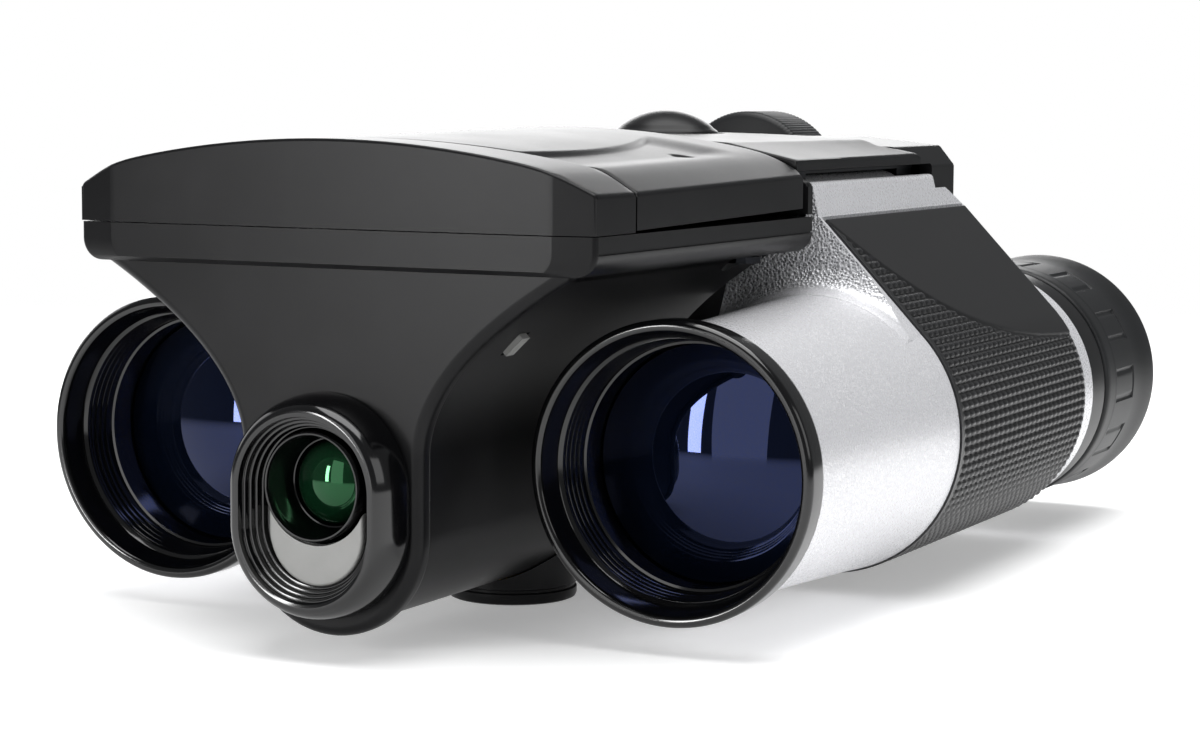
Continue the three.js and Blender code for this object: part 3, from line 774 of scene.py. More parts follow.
@dataclass
class Slab:
    """A closed plate over a plan whose front and rear edges may curve.

    Attributes:
        across: The plan's X stations.
        front: Y of the front edge at an X.
        rear: Y of the rear edge at an X.
        top: Z of the upper surface at an X and Y.
        bottom: Z of the lower surface at an X and Y.
        rows: Stations from front to rear.
        edge: Radius of the upper edges.
    """

    across: Sequence[float]
    front: Callable[[float], float]
    rear: Callable[[float], float]
    top: Callable[[float, float], float]
    bottom: Callable[[float, float], float]
    rows: int = 12
    edge: float = 0.35

    def rounding(self, distances: Iterable[float]) -> float:
        """How far the surface has dropped at these distances from its edges."""
        short = sum(max(0.0, self.edge - d) ** 2 for d in distances)
        return self.edge - math.sqrt(max(0.0, self.edge**2 - short))

    def form(self) -> Form:
        """Make the plate.

        Returns:
            Its closed form.
        """
        near = [self.edge * (1 - math.cos(math.pi / 2 * i / 4)) for i in range(4)] if self.edge else [0.0]
        half = self.across[-1]
        upper: list[list[Triple]] = []
        lower: list[list[Triple]] = []
        for x in self.across:
            first, last = self.front(x), self.rear(x)
            main = spread(first + self.edge, last - self.edge, self.rows)
            column = [*[first + d for d in near], *main, *[last - d for d in reversed(near)]]
            if not self.edge:
                column = main
            upper.append([
                (x, y, self.top(x, y) - self.rounding((half - abs(x), y - first, last - y))) for y in column
            ])
            lower.append([(x, y, self.bottom(x, y)) for y in (first, last)])
        return plate_between(upper, lower)


# ---------------------------------------------------------------- shared outlines
@dataclass(frozen=True)
class Roof:
    """The crowned roof that hood and lid share, and the seam between them."""

    half: float = 29.7
    crease: float = 25.4
    top: float = 33.2
    drop: float = 0.00426
    side_top: float = 28.2
    front: float = -16.3
    firm: float = 3.0

    def height(self, x: float) -> float:
        """Height of the roof at an X, with the crease softened.

        Args:
            x: Distance from the middle plane.

        Returns:
            The height.
        """
        reach = abs(x)
        edge = self.top - self.drop * self.crease**2
        crown = self.top - self.drop * reach * reach
        side = edge + (self.side_top - edge) * (reach - self.crease) / (self.half - self.crease)
        both = math.exp(-self.firm * (crown - edge)) + math.exp(-self.firm * (side - edge))
        return -math.log(both) / self.firm + edge

    def seam(self, x: float) -> float:
        """Y of the seam between hood and lid.

        Args:
            x: Distance from the middle plane.

        Returns:
            The distance along the barrels.
        """
        reach = abs(x)
        if reach <= 25:
            return -8.5 + 3 * (reach / 25) ** 2
        return -5.5 - 1.5 * (reach - 25) / (self.half - 25)

    def nose_edge(self, x: float) -> float:
        """Y of the hood's front, with the chamfered corners."""
        return self.front + 0.9 * max(0.0, abs(x) - self.crease) / (self.half - self.crease)

    def stations(self, count: int = 84) -> list[float]:
        """X stations that include both creases.

        Args:
            count: Stations between the creases.

        Returns:
            The stations.
        """
        middle = spread(-self.crease, self.crease, count)
        side = [self.crease + d for d in (0.2, 0.45, 0.8, 1.3, 2.1)]
        side += [self.half - d for d in (1.2, 0.5, 0.35, 0.22, 0.1, 0.03, 0.0)]
        return [*[-s for s in reversed(side)], *middle, *side]


ROOF = Roof()


@dataclass(frozen=True)
class Nose:
    """Cross section of the nose: a flare into the wing above a rounded bottom."""

    half: float = 10.5
    flare: float = 16.5
    wing_z: float = 20.4
    round_z: float = -6.0

    def outline(self, shrink: float, steps: int = 40) -> list[Pair]:
        """Closed outline, moved inwards by a distance.

        Args:
            shrink: How far the outline is moved inwards.
            steps: Points on a quarter of the bend.

        Returns:
            The outline.
        """
        right: list[Pair] = [(self.half + self.flare, self.wing_z + 1.5)]
        for i in range(steps + 1):
            t = 1 - i / steps
            right.append((self.half + self.flare * t**1.95, 2 + (self.wing_z - 2) * t))
        right.append((self.half, -2))
        for i in range(25):
            a = math.pi / 2 * i / 24
            right.append((self.half * math.cos(a), self.round_z - self.half * math.sin(a)))
        outline = [*right, *[(-x, z) for x, z in reversed(right[:-1])]]
        return inset(outline, shrink) if shrink else outline

    def spine(self, shrink: float, top: float) -> list[Pair]:
        """Closed outline of the housing between the barrels.

        Args:
            shrink: How far the outline is moved inwards.
            top: Height of the flat upper end.

        Returns:
            The outline.
        """
        right: list[Pair] = [(13.1 - shrink, top), (13.1 - shrink, 10.5), (10.7 - shrink, 3)]
        radius = self.half - 0.3 - shrink
        for i in range(25):
            a = math.pi / 2 * i / 24
            right.append((radius * math.cos(a), self.round_z - radius * math.sin(a)))
        return [*right, *[(-x, z) for x, z in reversed(right[:-1])]]


NOSE = Nose()


def oval(half: float, span: Pair, shrink: float = 0.0, steps: int = 48) -> list[Pair]:
    """An upright oval with straight sides.

    Args:
        half: Half the width.
        span: Lowest and highest point.
        shrink: How far the outline is moved inwards.
        steps: Points on a quarter of the bend.

    Returns:
        The outline.
    """
    middle, straight = (span[0] + span[1]) / 2, (span[1] - span[0]) / 2 - half
    points: list[Pair] = []
    for i in range(2 * steps):
        a = math.pi * (i + 0.5) / steps
        shift = straight if i < steps else -straight
        points.append(((half - shrink) * math.cos(a), middle + shift + (half - shrink) * math.sin(a)))
    return points


# ---------------------------------------------------------------- housing
@dataclass
class Housing:
    """Lower shell, hood and control deck, which carry everything else."""

    body: str = "housing"
    parting: float = 24.3
    gap: float = 0.3
    line: float = 0.1
    rear: float = 38.0
    spine_rear: float = 81.2
    spine_top: float = 28.5
    nose_face: float = -15.3
    bead: float = 1.1
    lip: float = 2.2
    camera: Pair = (0.0, -1.0)
    foot_y: float = 23.5
    wheel: Pair = (0.0, 25.8)
    lid_axis: Pair = (-6.5, 31.0)
    screws: tuple[Pair, ...] = ((-24.5, 31.0), (24.5, 31.0))

    def build(self) -> None:
        """Build and dress the housing pieces."""
        present(self.lower_shell(), Slot.BODY, self.body, "lower_shell")
        present(self.hood(), Slot.BODY, self.body, "front_hood")
        present(self.deck(), Slot.BODY, self.body, "control_deck")

    def wing(self) -> Form:
        """The shallow tray under hood and lid, with a rounded lower edge and chamfered front corners.

        Returns:
            The form.
        """
        corner = fillet([(24.6, ROOF.front), (ROOF.crease, ROOF.front), (ROOF.half, ROOF.front + 0.9),
                         (ROOF.half, -12.0)], 0.6, 5, closed=False)
        stations = [
            (half, y, 0.5 * (1 - smoothstep(ROOF.front - 0.1, ROOF.front + 0.7, y))) for half, y in corner
        ]
        stations.append((ROOF.half, self.rear, 0.0))
        loops: list[list[Triple]] = []
        for half, y, lift in stations:
            side = [(half, self.parting), (half, NOSE.wing_z + self.lip)]
            for i in range(1, 13):
                a = math.pi / 2 * i / 12
                side.append((half - self.lip * (1 - math.cos(a)), NOSE.wing_z + self.lip * (1 - math.sin(a))))
            outline = [*side, *[(-x, z) for x, z in reversed(side)]]
            loops.append([(x, y, max(z, NOSE.wing_z + lift)) for x, z in outline])
        return Form().loft(loops)

    def nose(self) -> Form:
        """The nose with a rounded bead round its face, and the body behind it.

        Returns:
            The form.
        """
        step = 0.9
        stations = [(self.nose_face, self.bead)]
        for i in range(1, 9):
            a = math.pi / 2 * i / 8
            stations.append((self.nose_face + self.bead * (1 - math.cos(a)), self.bead * (1 - math.sin(a))))
        stations += [(-13.5, 0.0), (-13.15, 0.08), (-12.9, 0.3), (-12.8, 0.6)]
        stations += [(-12.8, step), (self.rear, step)]
        return Form().loft([[(x, y, z) for x, z in NOSE.outline(shrink)] for y, shrink in stations])

    def lower_shell(self) -> bpy.types.Object:
        """Tray, nose and spine in one shell, hollowed and drilled.

        Returns:
            The piece.
        """
        shell = self.wing().build("lower_shell")
        section = fillet(NOSE.spine(0, self.spine_top), 0.8)
        spine = prism(section, (self.rear - 2, self.spine_rear), rounding=0.5)
        combine(shell, Join.ADD, [self.nose(), spine])
        hollow = Form().loft([[(x, y, z) for x, z in NOSE.outline(2.5)] for y in (self.nose_face + 1.8, 40)])
        cuts = [
            cuboid((-28.2, 28.2), (-14.6, 36.5), (21.3, 40)),
            cuboid((-15, 15), (30, self.rear + self.gap), (self.parting, 40)),
            hollow,
            prism(NOSE.spine(1.6, self.spine_top + 1), (34, self.spine_rear - 1.6)),
            cuboid((-7.8, 7.8), (36.0, self.spine_rear + 1), (-17, -12.0)),
            rod(6.3, (self.nose_face - 1, -12), self.camera),
            rod(4.4, (-20, -12), (0, self.foot_y), "Z"),
            rod(2.6, (76, 84), self.wheel),
        ]
        for x, y in self.screws:
            cuts.append(rod(1.2, (19, 23), (x, y), "Z", 32))
            cuts.append(rod(2.4, (10, NOSE.wing_z + 0.02), (x, y), "Z", 48))
        combine(shell, Join.CUT, cuts)
        return combine(shell, Join.CUT, [self.indicator_hole(), self.side_groove(1), self.side_groove(-1)])

    def indicator_hole(self) -> Form:
        """The tilted hole for the indicator window in the flare.

        Returns:
            The form.
        """
        block = cuboid((-1.6, 1.6), (-1.1, 1.1), (-1.05, 1.05))
        turn = Matrix.Translation((14.75, -4.2, 13.1)) @ Matrix.Rotation(-math.radians(44), 4, "Y")
        block.points = [tuple(turn @ Vector(p)) for p in block.points]
        return block

    def side_groove(self, side: int) -> Form:
        """The fine line that runs along the tray's side."""
        reach = sorted((side * (ROOF.half - 0.22), side * (ROOF.half + 1)))
        return cuboid((reach[0], reach[1]), (ROOF.front + 1.4, self.rear + 1), (22.5, 22.72))

    def hood(self) -> bpy.types.Object:
        """The hood ahead of the lid.

        Returns:
            The piece.
        """
        low = self.parting + self.line
        slab = Slab(ROOF.stations(), ROOF.nose_edge, ROOF.seam, lambda x, y: ROOF.height(x), lambda x, y: low)
        hood = slab.form().build("front_hood")
        inside = Slab(
            spread(-28.1, 28.1, 60),
            lambda x: ROOF.front + 2,
            lambda x: min(ROOF.seam(x) - 1.6, -8.2),
            lambda x, y: ROOF.height(x) - 1.6,
            lambda x, y: 20.0,
            edge=0.0,
        )
        return combine(hood, Join.CUT, [inside.form(), self.lid_sweep()])

    def lid_sweep(self) -> Form:
        """The space that the lid's front edge turns through.

        Returns:
            The form.
        """
        reach = 21.0
        profile: list[Pair] = [(0, -reach)]
        for x in spread(-reach, reach, 57):
            rise = ROOF.height(x) - self.lid_axis[1]
            profile.append((math.hypot(rise, min(0.0, ROOF.seam(x) - self.lid_axis[0])) + 0.27, x))
        profile.append((0, reach))
        return revolve(profile, self.lid_axis, "X", 96)

    def deck(self) -> bpy.types.Object:
        """The deck under the lid, with its hinge posts and a recess round each key.

        Returns:
            The piece.
        """
        plan = fillet([(-27.9, -8), (27.9, -8), (27.9, 36.2), (-27.9, 36.2)], 1.2)
        deck = prism(plan, (22.7, self.parting), "Z", 0.2).build("control_deck")
        posts: list[Form] = []
        for side in (-1, 1):
            low, high = sorted((side * 10.2, side * 13.6))
            posts.append(cuboid((low, high), (-7.3, -5.7), (23, self.lid_axis[1])))
            posts.append(rod(0.95, (low, high), self.lid_axis, "X"))
        combine(deck, Join.ADD, posts)
        cuts = [rod(0.55, (-20, 20), self.lid_axis, "X")]
        for key in KEYS:
            cuts.append(rod(2.75, (22, 25), key.centre, "Z", 96))
            cuts.append(rod(4.1, (self.parting - 0.35, 25), key.centre, "Z", 96))
        for x, y in self.screws:
            cuts.append(rod(0.9, (22, 24), (x, y), "Z"))
        return combine(deck, Join.CUT, cuts)


@dataclass
class Lid:
    """The lid that flips up with the screen in its underside."""

    body: str = "lid"
    rear: float = 36.4
    climb: float = 0.0167
    hinge: Pair = (-6.5, 31.0)
    wall: float = 1.6
    relief: float = 0.45
    band: float = 0.9

    def build(self) -> None:
        """Build and dress the lid pieces."""
        present(self.cover(), Slot.BODY, self.body, "lid_cover")
        present(self.screen_bezel(), Slot.GLOSS, self.body, "screen_bezel")
        present(self.screen_panel(), Slot.SCREEN, self.body, "screen_panel")

    def rise(self, y: float) -> float:
        """How much the closed lid has climbed at a Y."""
        return self.climb * (y - self.hinge[0])

    def top(self, x: float, y: float) -> float:
        """Height of the lid's top, with the two bracket-shaped steps and the finger dimple.

        Args:
            x: Distance from the middle plane.
            y: Distance along the barrels.

        Returns:
            The height.
        """
        arc = 18.25 - 0.0085 * (y - 5.5) ** 2
        depth = self.relief * smoothstep(arc - self.band / 2, arc + self.band / 2, abs(x))
        depth *= 1 - smoothstep(24, 31, y)
        depth *= 1 - smoothstep(21.5, 25.0, abs(x))
        dimple = 0.0
        if x > 0:
            dimple = 0.3 * (1 - smoothstep(0.6, 1.5, math.hypot(x - 22, y - 20)))
        return ROOF.height(x) + self.rise(y) - depth - dimple

    def back(self, x: float) -> float:
        """Y of the lid's rear edge, with its clipped corners."""
        return self.rear - 1.2 * smoothstep(28.2, 29.7, abs(x))

    def cover(self) -> bpy.types.Object:
        """The lid's shell with its hinge barrel.

        Returns:
            The piece.
        """
        low = 24.6
        across = ROOF.stations(170)
        outside = Slab(
            across,
            lambda x: ROOF.seam(x) + 0.3,
            self.back,
            self.top,
            lambda x, y: low + self.rise(y),
            96,
        )
        cover = outside.form().build("lid_cover")
        inside = Slab(
            spread(-28.1, 28.1, 60),
            lambda x: -4.6,
            lambda x: self.rear - 1.5,
            lambda x, y: ROOF.height(x) + self.rise(y) - self.wall - self.relief * 0.6,
            lambda x, y: 20.0,
            edge=0.0,
        )
        cuts = [inside.form(), cuboid((-28, 28), (-12, -4.5), (20, 25.45))]
        for side in (-1, 1):
            low_x, high_x = sorted((side * 9.9, side * 13.9))
            cuts.append(cuboid((low_x, high_x), (-12, self.hinge[0] + 1.6), (20, self.hinge[1])))
            cuts.append(cuboid((low_x, high_x), (-12, self.hinge[0]), (20, self.hinge[1] + 1.1)))
            cuts.append(rod(1.25, (low_x, high_x), self.hinge, "X"))
        combine(cover, Join.CUT, cuts)
        combine(cover, Join.ADD, [rod(1.4, (-9.6, 9.6), self.hinge, "X")])
        return combine(cover, Join.CUT, [rod(0.56, (-20, 20), self.hinge, "X")])

    def tilted(self, form: Form) -> Form:
        """Let a form climb with the closed lid."""
        form.points = [(x, y, z + self.rise(y)) for x, y, z in form.points]
        return form

    def screen_bezel(self) -> bpy.types.Object:
        """The glossy frame round the screen, with a bevelled window.

        Returns:
            The piece.
        """
        plan = fillet([(-27.7, -4.2), (27.7, -4.2), (27.7, self.rear - 1.9), (-27.7, self.rear - 1.9)], 1.0)
        frame_piece = self.tilted(prism(plan, (25.7, 26.9), "Z", 0.3)).build("screen_bezel")
        window = fillet([(-20.6, -0.6), (20.6, -0.6), (20.6, 30.6), (-20.6, 30.6)], 0.8)
        wide = [(x * 1.02, 15 + (y - 15) * 1.03) for x, y in window]
        sunk = Form().loft([[(x, y, z) for x, y in plan_loop] for plan_loop, z in
                            ((wide, 25.0), (wide, 25.75), (window, 26.3), (window, 28.0))])
        return combine(frame_piece, Join.CUT, [self.tilted(sunk)])

    def screen_panel(self) -> bpy.types.Object:
        """The screen behind the frame."""
        plan = fillet([(-23, -2.6), (23, -2.6), (23, 32.6), (-23, 32.6)], 0.8)
        return self.tilted(prism(plan, (27.2, 28.9), "Z", 0.2)).build("screen_panel")


@dataclass
class Covers:
    """The cover plate between lid and rear cap, and the rear cap with the wheel well."""

    body: str = "housing"
    wall: Pair = (36.7, 38.0)
    step: float = 0.35
    corner_y: float = 77.3
    centre_y: float = 70.4
    cap_rear: float = 90.3
    wheel: Pair = (0.0, 25.8)

    def build(self) -> None:
        """Build and dress both covers."""
        present(self.spine_cover(), Slot.BODY, self.body, "spine_cover")
        present(self.rear_cap(), Slot.BODY, self.body, "rear_cap")

    def seam(self, x: float) -> float:
        """Y of the seam between plate and cap."""
        return self.centre_y + (self.corner_y - self.centre_y) * max(0.0, min(1.0, (abs(x) - 25) / 3))

    def plate_top(self, x: float, y: float) -> float:
        """Height of the plate, whose crease runs outwards towards the rear.

        Args:
            x: Distance from the middle plane.
            y: Distance along the barrels.

        Returns:
            The height.
        """
        crease = 19 + 0.115 * (y - 34)
        reach = abs(x)
        if reach < crease:
            return 33.0 - 0.65 * (reach / crease) ** 2
        return 32.35 - 1.85 * (reach - crease) / (28 - crease)

    def spine_cover(self) -> bpy.types.Object:
        """The plate with the wall that stands behind the lid.

        Returns:
            The piece.
        """
        across = sorted({*spread(-28, 28, 113), *[s * v for s in (-1, 1) for v in (27.6, 27.85, 25.0)]})
        plate = Slab(across, lambda x: self.wall[1] - 0.6, self.seam, self.plate_top, lambda x, y: 29.3, 48)
        cover = plate.form().build("spine_cover")
        wall = Slab(
            ROOF.stations(),
            lambda x: self.wall[0],
            lambda x: self.wall[1],
            lambda x, y: ROOF.height(x) - 0.2,
            lambda x, y: 24.6,
        )
        combine(cover, Join.ADD, [wall.form()])
        under = [(26.8, 28), (26.8, 29.7), (19.6, 30.9), (10, 31.4)]
        hollow = prism([*under, *[(-x, z) for x, z in reversed(under)]], (self.wall[1] + 1, 80))
        well = revolve([(0, 28), (6.9, 28), (6.9, 32.2), (7.6, 33.4), (0, 33.4)], (0, 63), "Z", 128)
        return combine(cover, Join.CUT, [hollow, well])

    def rear_cap(self) -> bpy.types.Object:
        """The cap over the hinges and the block behind the barrel shoulders.

        Returns:
            The piece.
        """
        section = [(28, 20), (28, 29), (26, 31.45), (16, 32.4)]
        outline = fillet([*section, *[(-x, z) for x, z in reversed(section)]], 0.7)
        cap = prism(outline, (60, self.cap_rear), rounding=0.7).build("rear_cap")
        plan = [(-40, 60), (-40, self.corner_y + self.step), (-28, self.corner_y + self.step),
                (-25, self.centre_y + self.step), (25, self.centre_y + self.step),
                (28, self.corner_y + self.step), (40, self.corner_y + self.step), (40, 60)]
        cuts = [
            Form().loft([[(x, y, z) for x, y in reversed(plan)] for z in (10, 40)]),
            cuboid((-30, 30), (60, 81.5), (10, 29.3)),
        ]
        for side in (-1, 1):
            low, high = sorted((side * 13, side * 26.4))
            cuts.append(cuboid((low, high), (80, 88.7), (21.6, 29.9)))
        under = [(26.6, 20), (26.6, 29.2), (16, 30.9)]
        cuts.append(prism([*under, *[(-x, z) for x, z in reversed(under)]], (62, 81.4)))
        combine(cap, Join.CUT, cuts)
        centre = fillet([(-12.2, 6), (12.2, 6), (12.2, 26), (-12.2, 26)], 1.6)
        combine(cap, Join.ADD, [prism(centre, (81.5, self.cap_rear), rounding=0.5)])
        return combine(cap, Join.CUT, [
            rod(10.6, (86.5, 92), self.wheel, sides=128),
            rod(2.05, (80, 92), self.wheel),
        ])


@dataclass
class CameraPod:
    """The oval bezel on the nose with its stepped ridges, the lens tube, the lens and the grey plate."""

    body: str = "housing"
    centre: Pair = (0.0, -1.0)
    base_half: float = 9.5
    base_span: Pair = (-14.5, 8.2)
    back: float = -15.6
    front: float = -20.3
    floor: float = -16.9
    ridges: int = 5
    mouth: float = 5.75

    def build(self) -> None:
        """Build and dress the camera pieces."""
        present(self.bezel(), Slot.GLOSS, self.body, "camera_bezel")
        present(self.plate(), Slot.PLATE, self.body, "bezel_plate")
        present(self.tube(), Slot.GLOSS, self.body, "camera_barrel")
        present(self.lens(), Slot.CAMERA, self.body, "camera_lens")

    def ring(self, y: float, shrink: float) -> list[Triple]:
        """One oval loop, moved inwards from the base outline."""
        return [(x, y, z) for x, z in oval(self.base_half, self.base_span, shrink)]

    def bezel(self) -> bpy.types.Object:
        """A convex rim with stepped ridges inside, on a floor with the lens opening.

        Returns:
            The piece.
        """
        rim = 1.55
        stations: list[Pair] = [(self.back, 0.0), (self.back - 0.5, 0.0)]
        for i in range(1, 11):
            a = math.pi / 2 * i / 10
            depth = (self.back - 0.5 - self.front) * math.sin(a)
            stations.append((self.back - 0.5 - depth, rim * (1 - math.cos(a)) ** 0.9))
        inner, depth = rim + 0.5, self.front + 0.25
        stations += [(self.front, rim + 0.22), (self.front + 0.08, inner)]
        pitch_in, pitch_back = 0.36, 0.56
        for _ in range(self.ridges):
            stations += [(depth + 0.1, inner + 0.02), (depth + pitch_back - 0.12, inner + 0.05)]
            stations += [(depth + pitch_back, inner + 0.14), (depth + pitch_back, inner + pitch_in - 0.1)]
            inner += pitch_in
            depth += pitch_back
            stations.append((depth + 0.03, inner - 0.02))
        stations += [(self.floor, inner)]
        form = Form().loft([self.ring(y, shrink) for y, shrink in stations])
        bezel = form.build("camera_bezel")
        return combine(bezel, Join.CUT, [rod(self.mouth + 0.1, (-22, -14), self.centre, sides=128)])

    def plate(self) -> bpy.types.Object:
        """The half-moon plate below the lens."""
        plate = prism(oval(5.45, (-11.0, 4.6)), (-17.75, -16.85), rounding=0.3).build("bezel_plate")
        return combine(plate, Join.CUT, [rod(5.95, (-22, -14), self.centre, sides=128)])

    def tube(self) -> bpy.types.Object:
        """The lens tube, whose mouth narrows towards the lens in fine steps.

        Returns:
            The piece.
        """
        profile: list[Pair] = [(5.35, -18.6), (5.5, -18.45), (5.6, -17), (5.6, -2), (4.4, -2), (4.4, -14.6)]
        for i in range(6):
            y = -14.9 - i * 0.55
            radius = 4.4 + 0.11 * (i + 1)
            profile += [(radius, y + 0.25), (radius + 0.02, y)]
        profile += [(5.12, -18.5), (5.2, -18.6)]
        return revolve(profile, self.centre).build("camera_barrel")

    def lens(self) -> bpy.types.Object:
        """The domed front lens.

        Returns:
            The piece.
        """
        dome = [(4.2 * math.sin(a), -14.3 - 1.9 * (math.cos(a) - math.cos(1.2)) / (1 - math.cos(1.2)))
                for a in spread(0, 1.2, 16)]
        scaled = [(radius / math.sin(1.2), y) for radius, y in dome]
        return revolve([*scaled, (4.2, -11.5), (0, -11.5)], self.centre).build("camera_lens")


# ---------------------------------------------------------------- controls
@dataclass(frozen=True)
class Key:
    """One round key on the deck."""

    node: str
    body: str
    centre: Pair


KEYS = (
    Key("power_button", "power_key", (-9, 4)),
    Key("menu_button", "menu_key", (9, 4)),
    Key("up_button", "up_key", (0, 12)),
    Key("down_button", "down_key", (0, 24)),
)


@dataclass
class Controls:
    """Shutter dome, focus wheel and the keys under the lid."""

    dome_radius: float = 6.6
    dome_top: float = 35.7
    dome_base: float = 32.9
    dome_y: float = 63.0
    wheel_radius: float = 9.7
    wheel_y: Pair = (87.0, 98.5)
    wheel_centre: Pair = (0.0, 25.8)
    wheel_ribs: int = 120
    rib_depth: float = 0.06

    def build(self) -> None:
        """Build and dress the controls."""
        present(self.shutter(), Slot.BODY, "shutter", "shutter_button")
        present(self.wheel(), Slot.CUP, "focus_knob", "focus_wheel")
        for key in KEYS:
            present(self.key(key), Slot.PLATE, key.body, key.node)

    def shutter(self) -> bpy.types.Object:
        """The domed button with a fine groove near its rim.

        Returns:
            The piece.
        """
        rise = self.dome_top - self.dome_base
        ball = (self.dome_radius**2 + rise**2) / (2 * rise)
        sweep = math.asin(self.dome_radius / ball)
        profile: list[Pair] = [(0, 28.8), (2.6, 28.8), (2.6, 30), (7.5, 30), (7.6, 30.1), (7.6, 30.9)]
        profile += [(7.5, 31), (self.dome_radius, 31), (self.dome_radius, 32.6)]
        for i in range(25):
            a = sweep * (0.975 - 0.975 * i / 24)
            groove = 0.12 * math.exp(-(((ball * math.sin(a) - 5.9) / 0.12) ** 2))
            profile.append((ball * math.sin(a), self.dome_top - ball + ball * math.cos(a) - groove))
        profile[-1] = (0, self.dome_top)
        return revolve(profile, (0, self.dome_y), "Z").build("shutter_button")

    def wheel(self) -> bpy.types.Object:
        """The focus wheel with rounded ribs and a dished rear face.

        Returns:
            The piece.
        """
        low, high = self.wheel_y
        sides = self.wheel_ribs * 8
        turns = [2 * math.pi * j / sides for j in range(sides)]
        lengthwise = [(low, 0.9), (low + 0.35, 0.25), (low + 0.8, 0.0), (high - 2.2, 0.0), (high - 1.6, 0.35)]
        face = [(9.0, 1.3), (8.6, 0.5), (8.1, 0.0), (7.4, 0.0), (7.1, 0.35)]
        face += [(6.0, 0.6), (3.0, 0.6), (1e-3, 0.6)]

        def circle(radius: float, y: float) -> list[Triple]:
            """A plain loop round the wheel's axis."""
            height = self.wheel_centre[1]
            return [(radius * math.cos(a), y, height + radius * math.sin(a)) for a in turns]

        loops: list[list[Triple]] = [circle(1e-3, low)]
        for y, shrink in lengthwise:
            cut = self.rib_depth * (1 if shrink < 0.2 else 0.2)
            loop: list[Triple] = []
            for j, a in enumerate(turns):
                rib = abs(math.sin(math.pi * j / 8)) ** 0.6
                radius = self.wheel_radius - shrink - cut * (1 - rib)
                loop.append((radius * math.cos(a), y, self.wheel_centre[1] + radius * math.sin(a)))
            loops.append(loop)
        loops += [circle(radius, high - back) for radius, back in face]
        wheel = Form().loft(loops).build("focus_wheel")
        return combine(wheel, Join.CUT, [rod(2.1, (80, 96), self.wheel_centre)])

    def key(self, key: Key) -> bpy.types.Object:
        """A round key with a soft crown and a shallow dish.

        Args:
            key: The key.

        Returns:
            The piece.
        """
        profile = [(0, 21.87), (3.1, 21.87), (3.1, 22.4), (2.45, 22.4), (2.45, 24.7), (2.38, 24.95),
                   (2.2, 25.12), (1.95, 25.2), (1.6, 25.18), (0.9, 25.02), (0, 24.96)]
        return revolve(profile, key.centre, "Z", 96).build(key.node)


# ---------------------------------------------------------------- foot and battery door
@dataclass
class Underside:
    """Tripod foot with its threaded nut, and the battery door."""

    foot: Pair = (0.0, 23.5)
    radius: float = 7.2
    sole: float = -18.4
    door_half: float = 7.5
    door_y: float = 36.3
    door_rear: float = 81.2

    def build(self) -> None:
        """Build and dress the pieces of the underside."""
        present(self.foot_ring(), Slot.BODY, "housing", "tripod_foot")
        present(self.nut(), Slot.BRASS, "housing", "tripod_nut")
        present(self.door(), Slot.BODY, "battery_door", "battery_door")

    def foot_ring(self) -> bpy.types.Object:
        """The round foot, with a groove near its sole.

        Returns:
            The piece.
        """
        outer = self.radius
        profile = [(4.4, self.sole), (outer - 0.5, self.sole), (outer - 0.15, self.sole + 0.15),
                   (outer, self.sole + 0.5), (outer, self.sole + 1.2), (outer - 0.25, self.sole + 1.35),
                   (outer - 0.25, self.sole + 1.6), (outer, self.sole + 1.75), (outer, -10), (4.4, -10)]
        ring = revolve(profile, self.foot, "Z").build("tripod_foot")
        body = Form().loft([[(x, y, z) for x, z in NOSE.outline(0.75)] for y in (10, 38)])
        return combine(ring, Join.CUT, [body])

    def nut(self) -> bpy.types.Object:
        """The nut, with its thread as rings.

        Returns:
            The piece.
        """
        low, high, inner, pitch = -18.1, -13.2, 3.1, 0.7
        profile: list[Pair] = [(4.1, low + 0.1), (4.1, high), (inner + 0.1, high)]
        turns = int((high - low - 0.4) / pitch)
        for i in range(turns):
            z = high - 0.3 - i * pitch
            profile += [(inner + 0.1, z), (inner + 0.45, z - pitch / 2)]
        profile += [(inner + 0.1, low + 0.3), (inner + 0.4, low)]
        profile.append((4.0, low))
        return revolve(profile, self.foot, "Z").build("tripod_nut")

    def door(self) -> bpy.types.Object:
        """The battery door with ribs for the thumb.

        Returns:
            The piece.
        """
        door = prism(NOSE.spine(0, 19), (30, self.door_rear), rounding=0.4).build("battery_door")
        combine(door, Join.CUT, [prism(NOSE.spine(1.6, 20), (29, self.door_rear + 2))])
        combine(door, Join.KEEP, [cuboid((-self.door_half, self.door_half), (self.door_y, 83), (-17, -12.3))])
        ribs = [cuboid((-4.5, 4.5), (y, y + 0.5), (-16.15, -17.5)) for y in spread(66, 74, 7)]
        return combine(door, Join.CUT, ribs)


# ---------------------------------------------------------------- barrels
class Side(Enum):
    """Which eye a barrel serves; the value is the sign of its X."""

    LEFT = 1
    RIGHT = -1


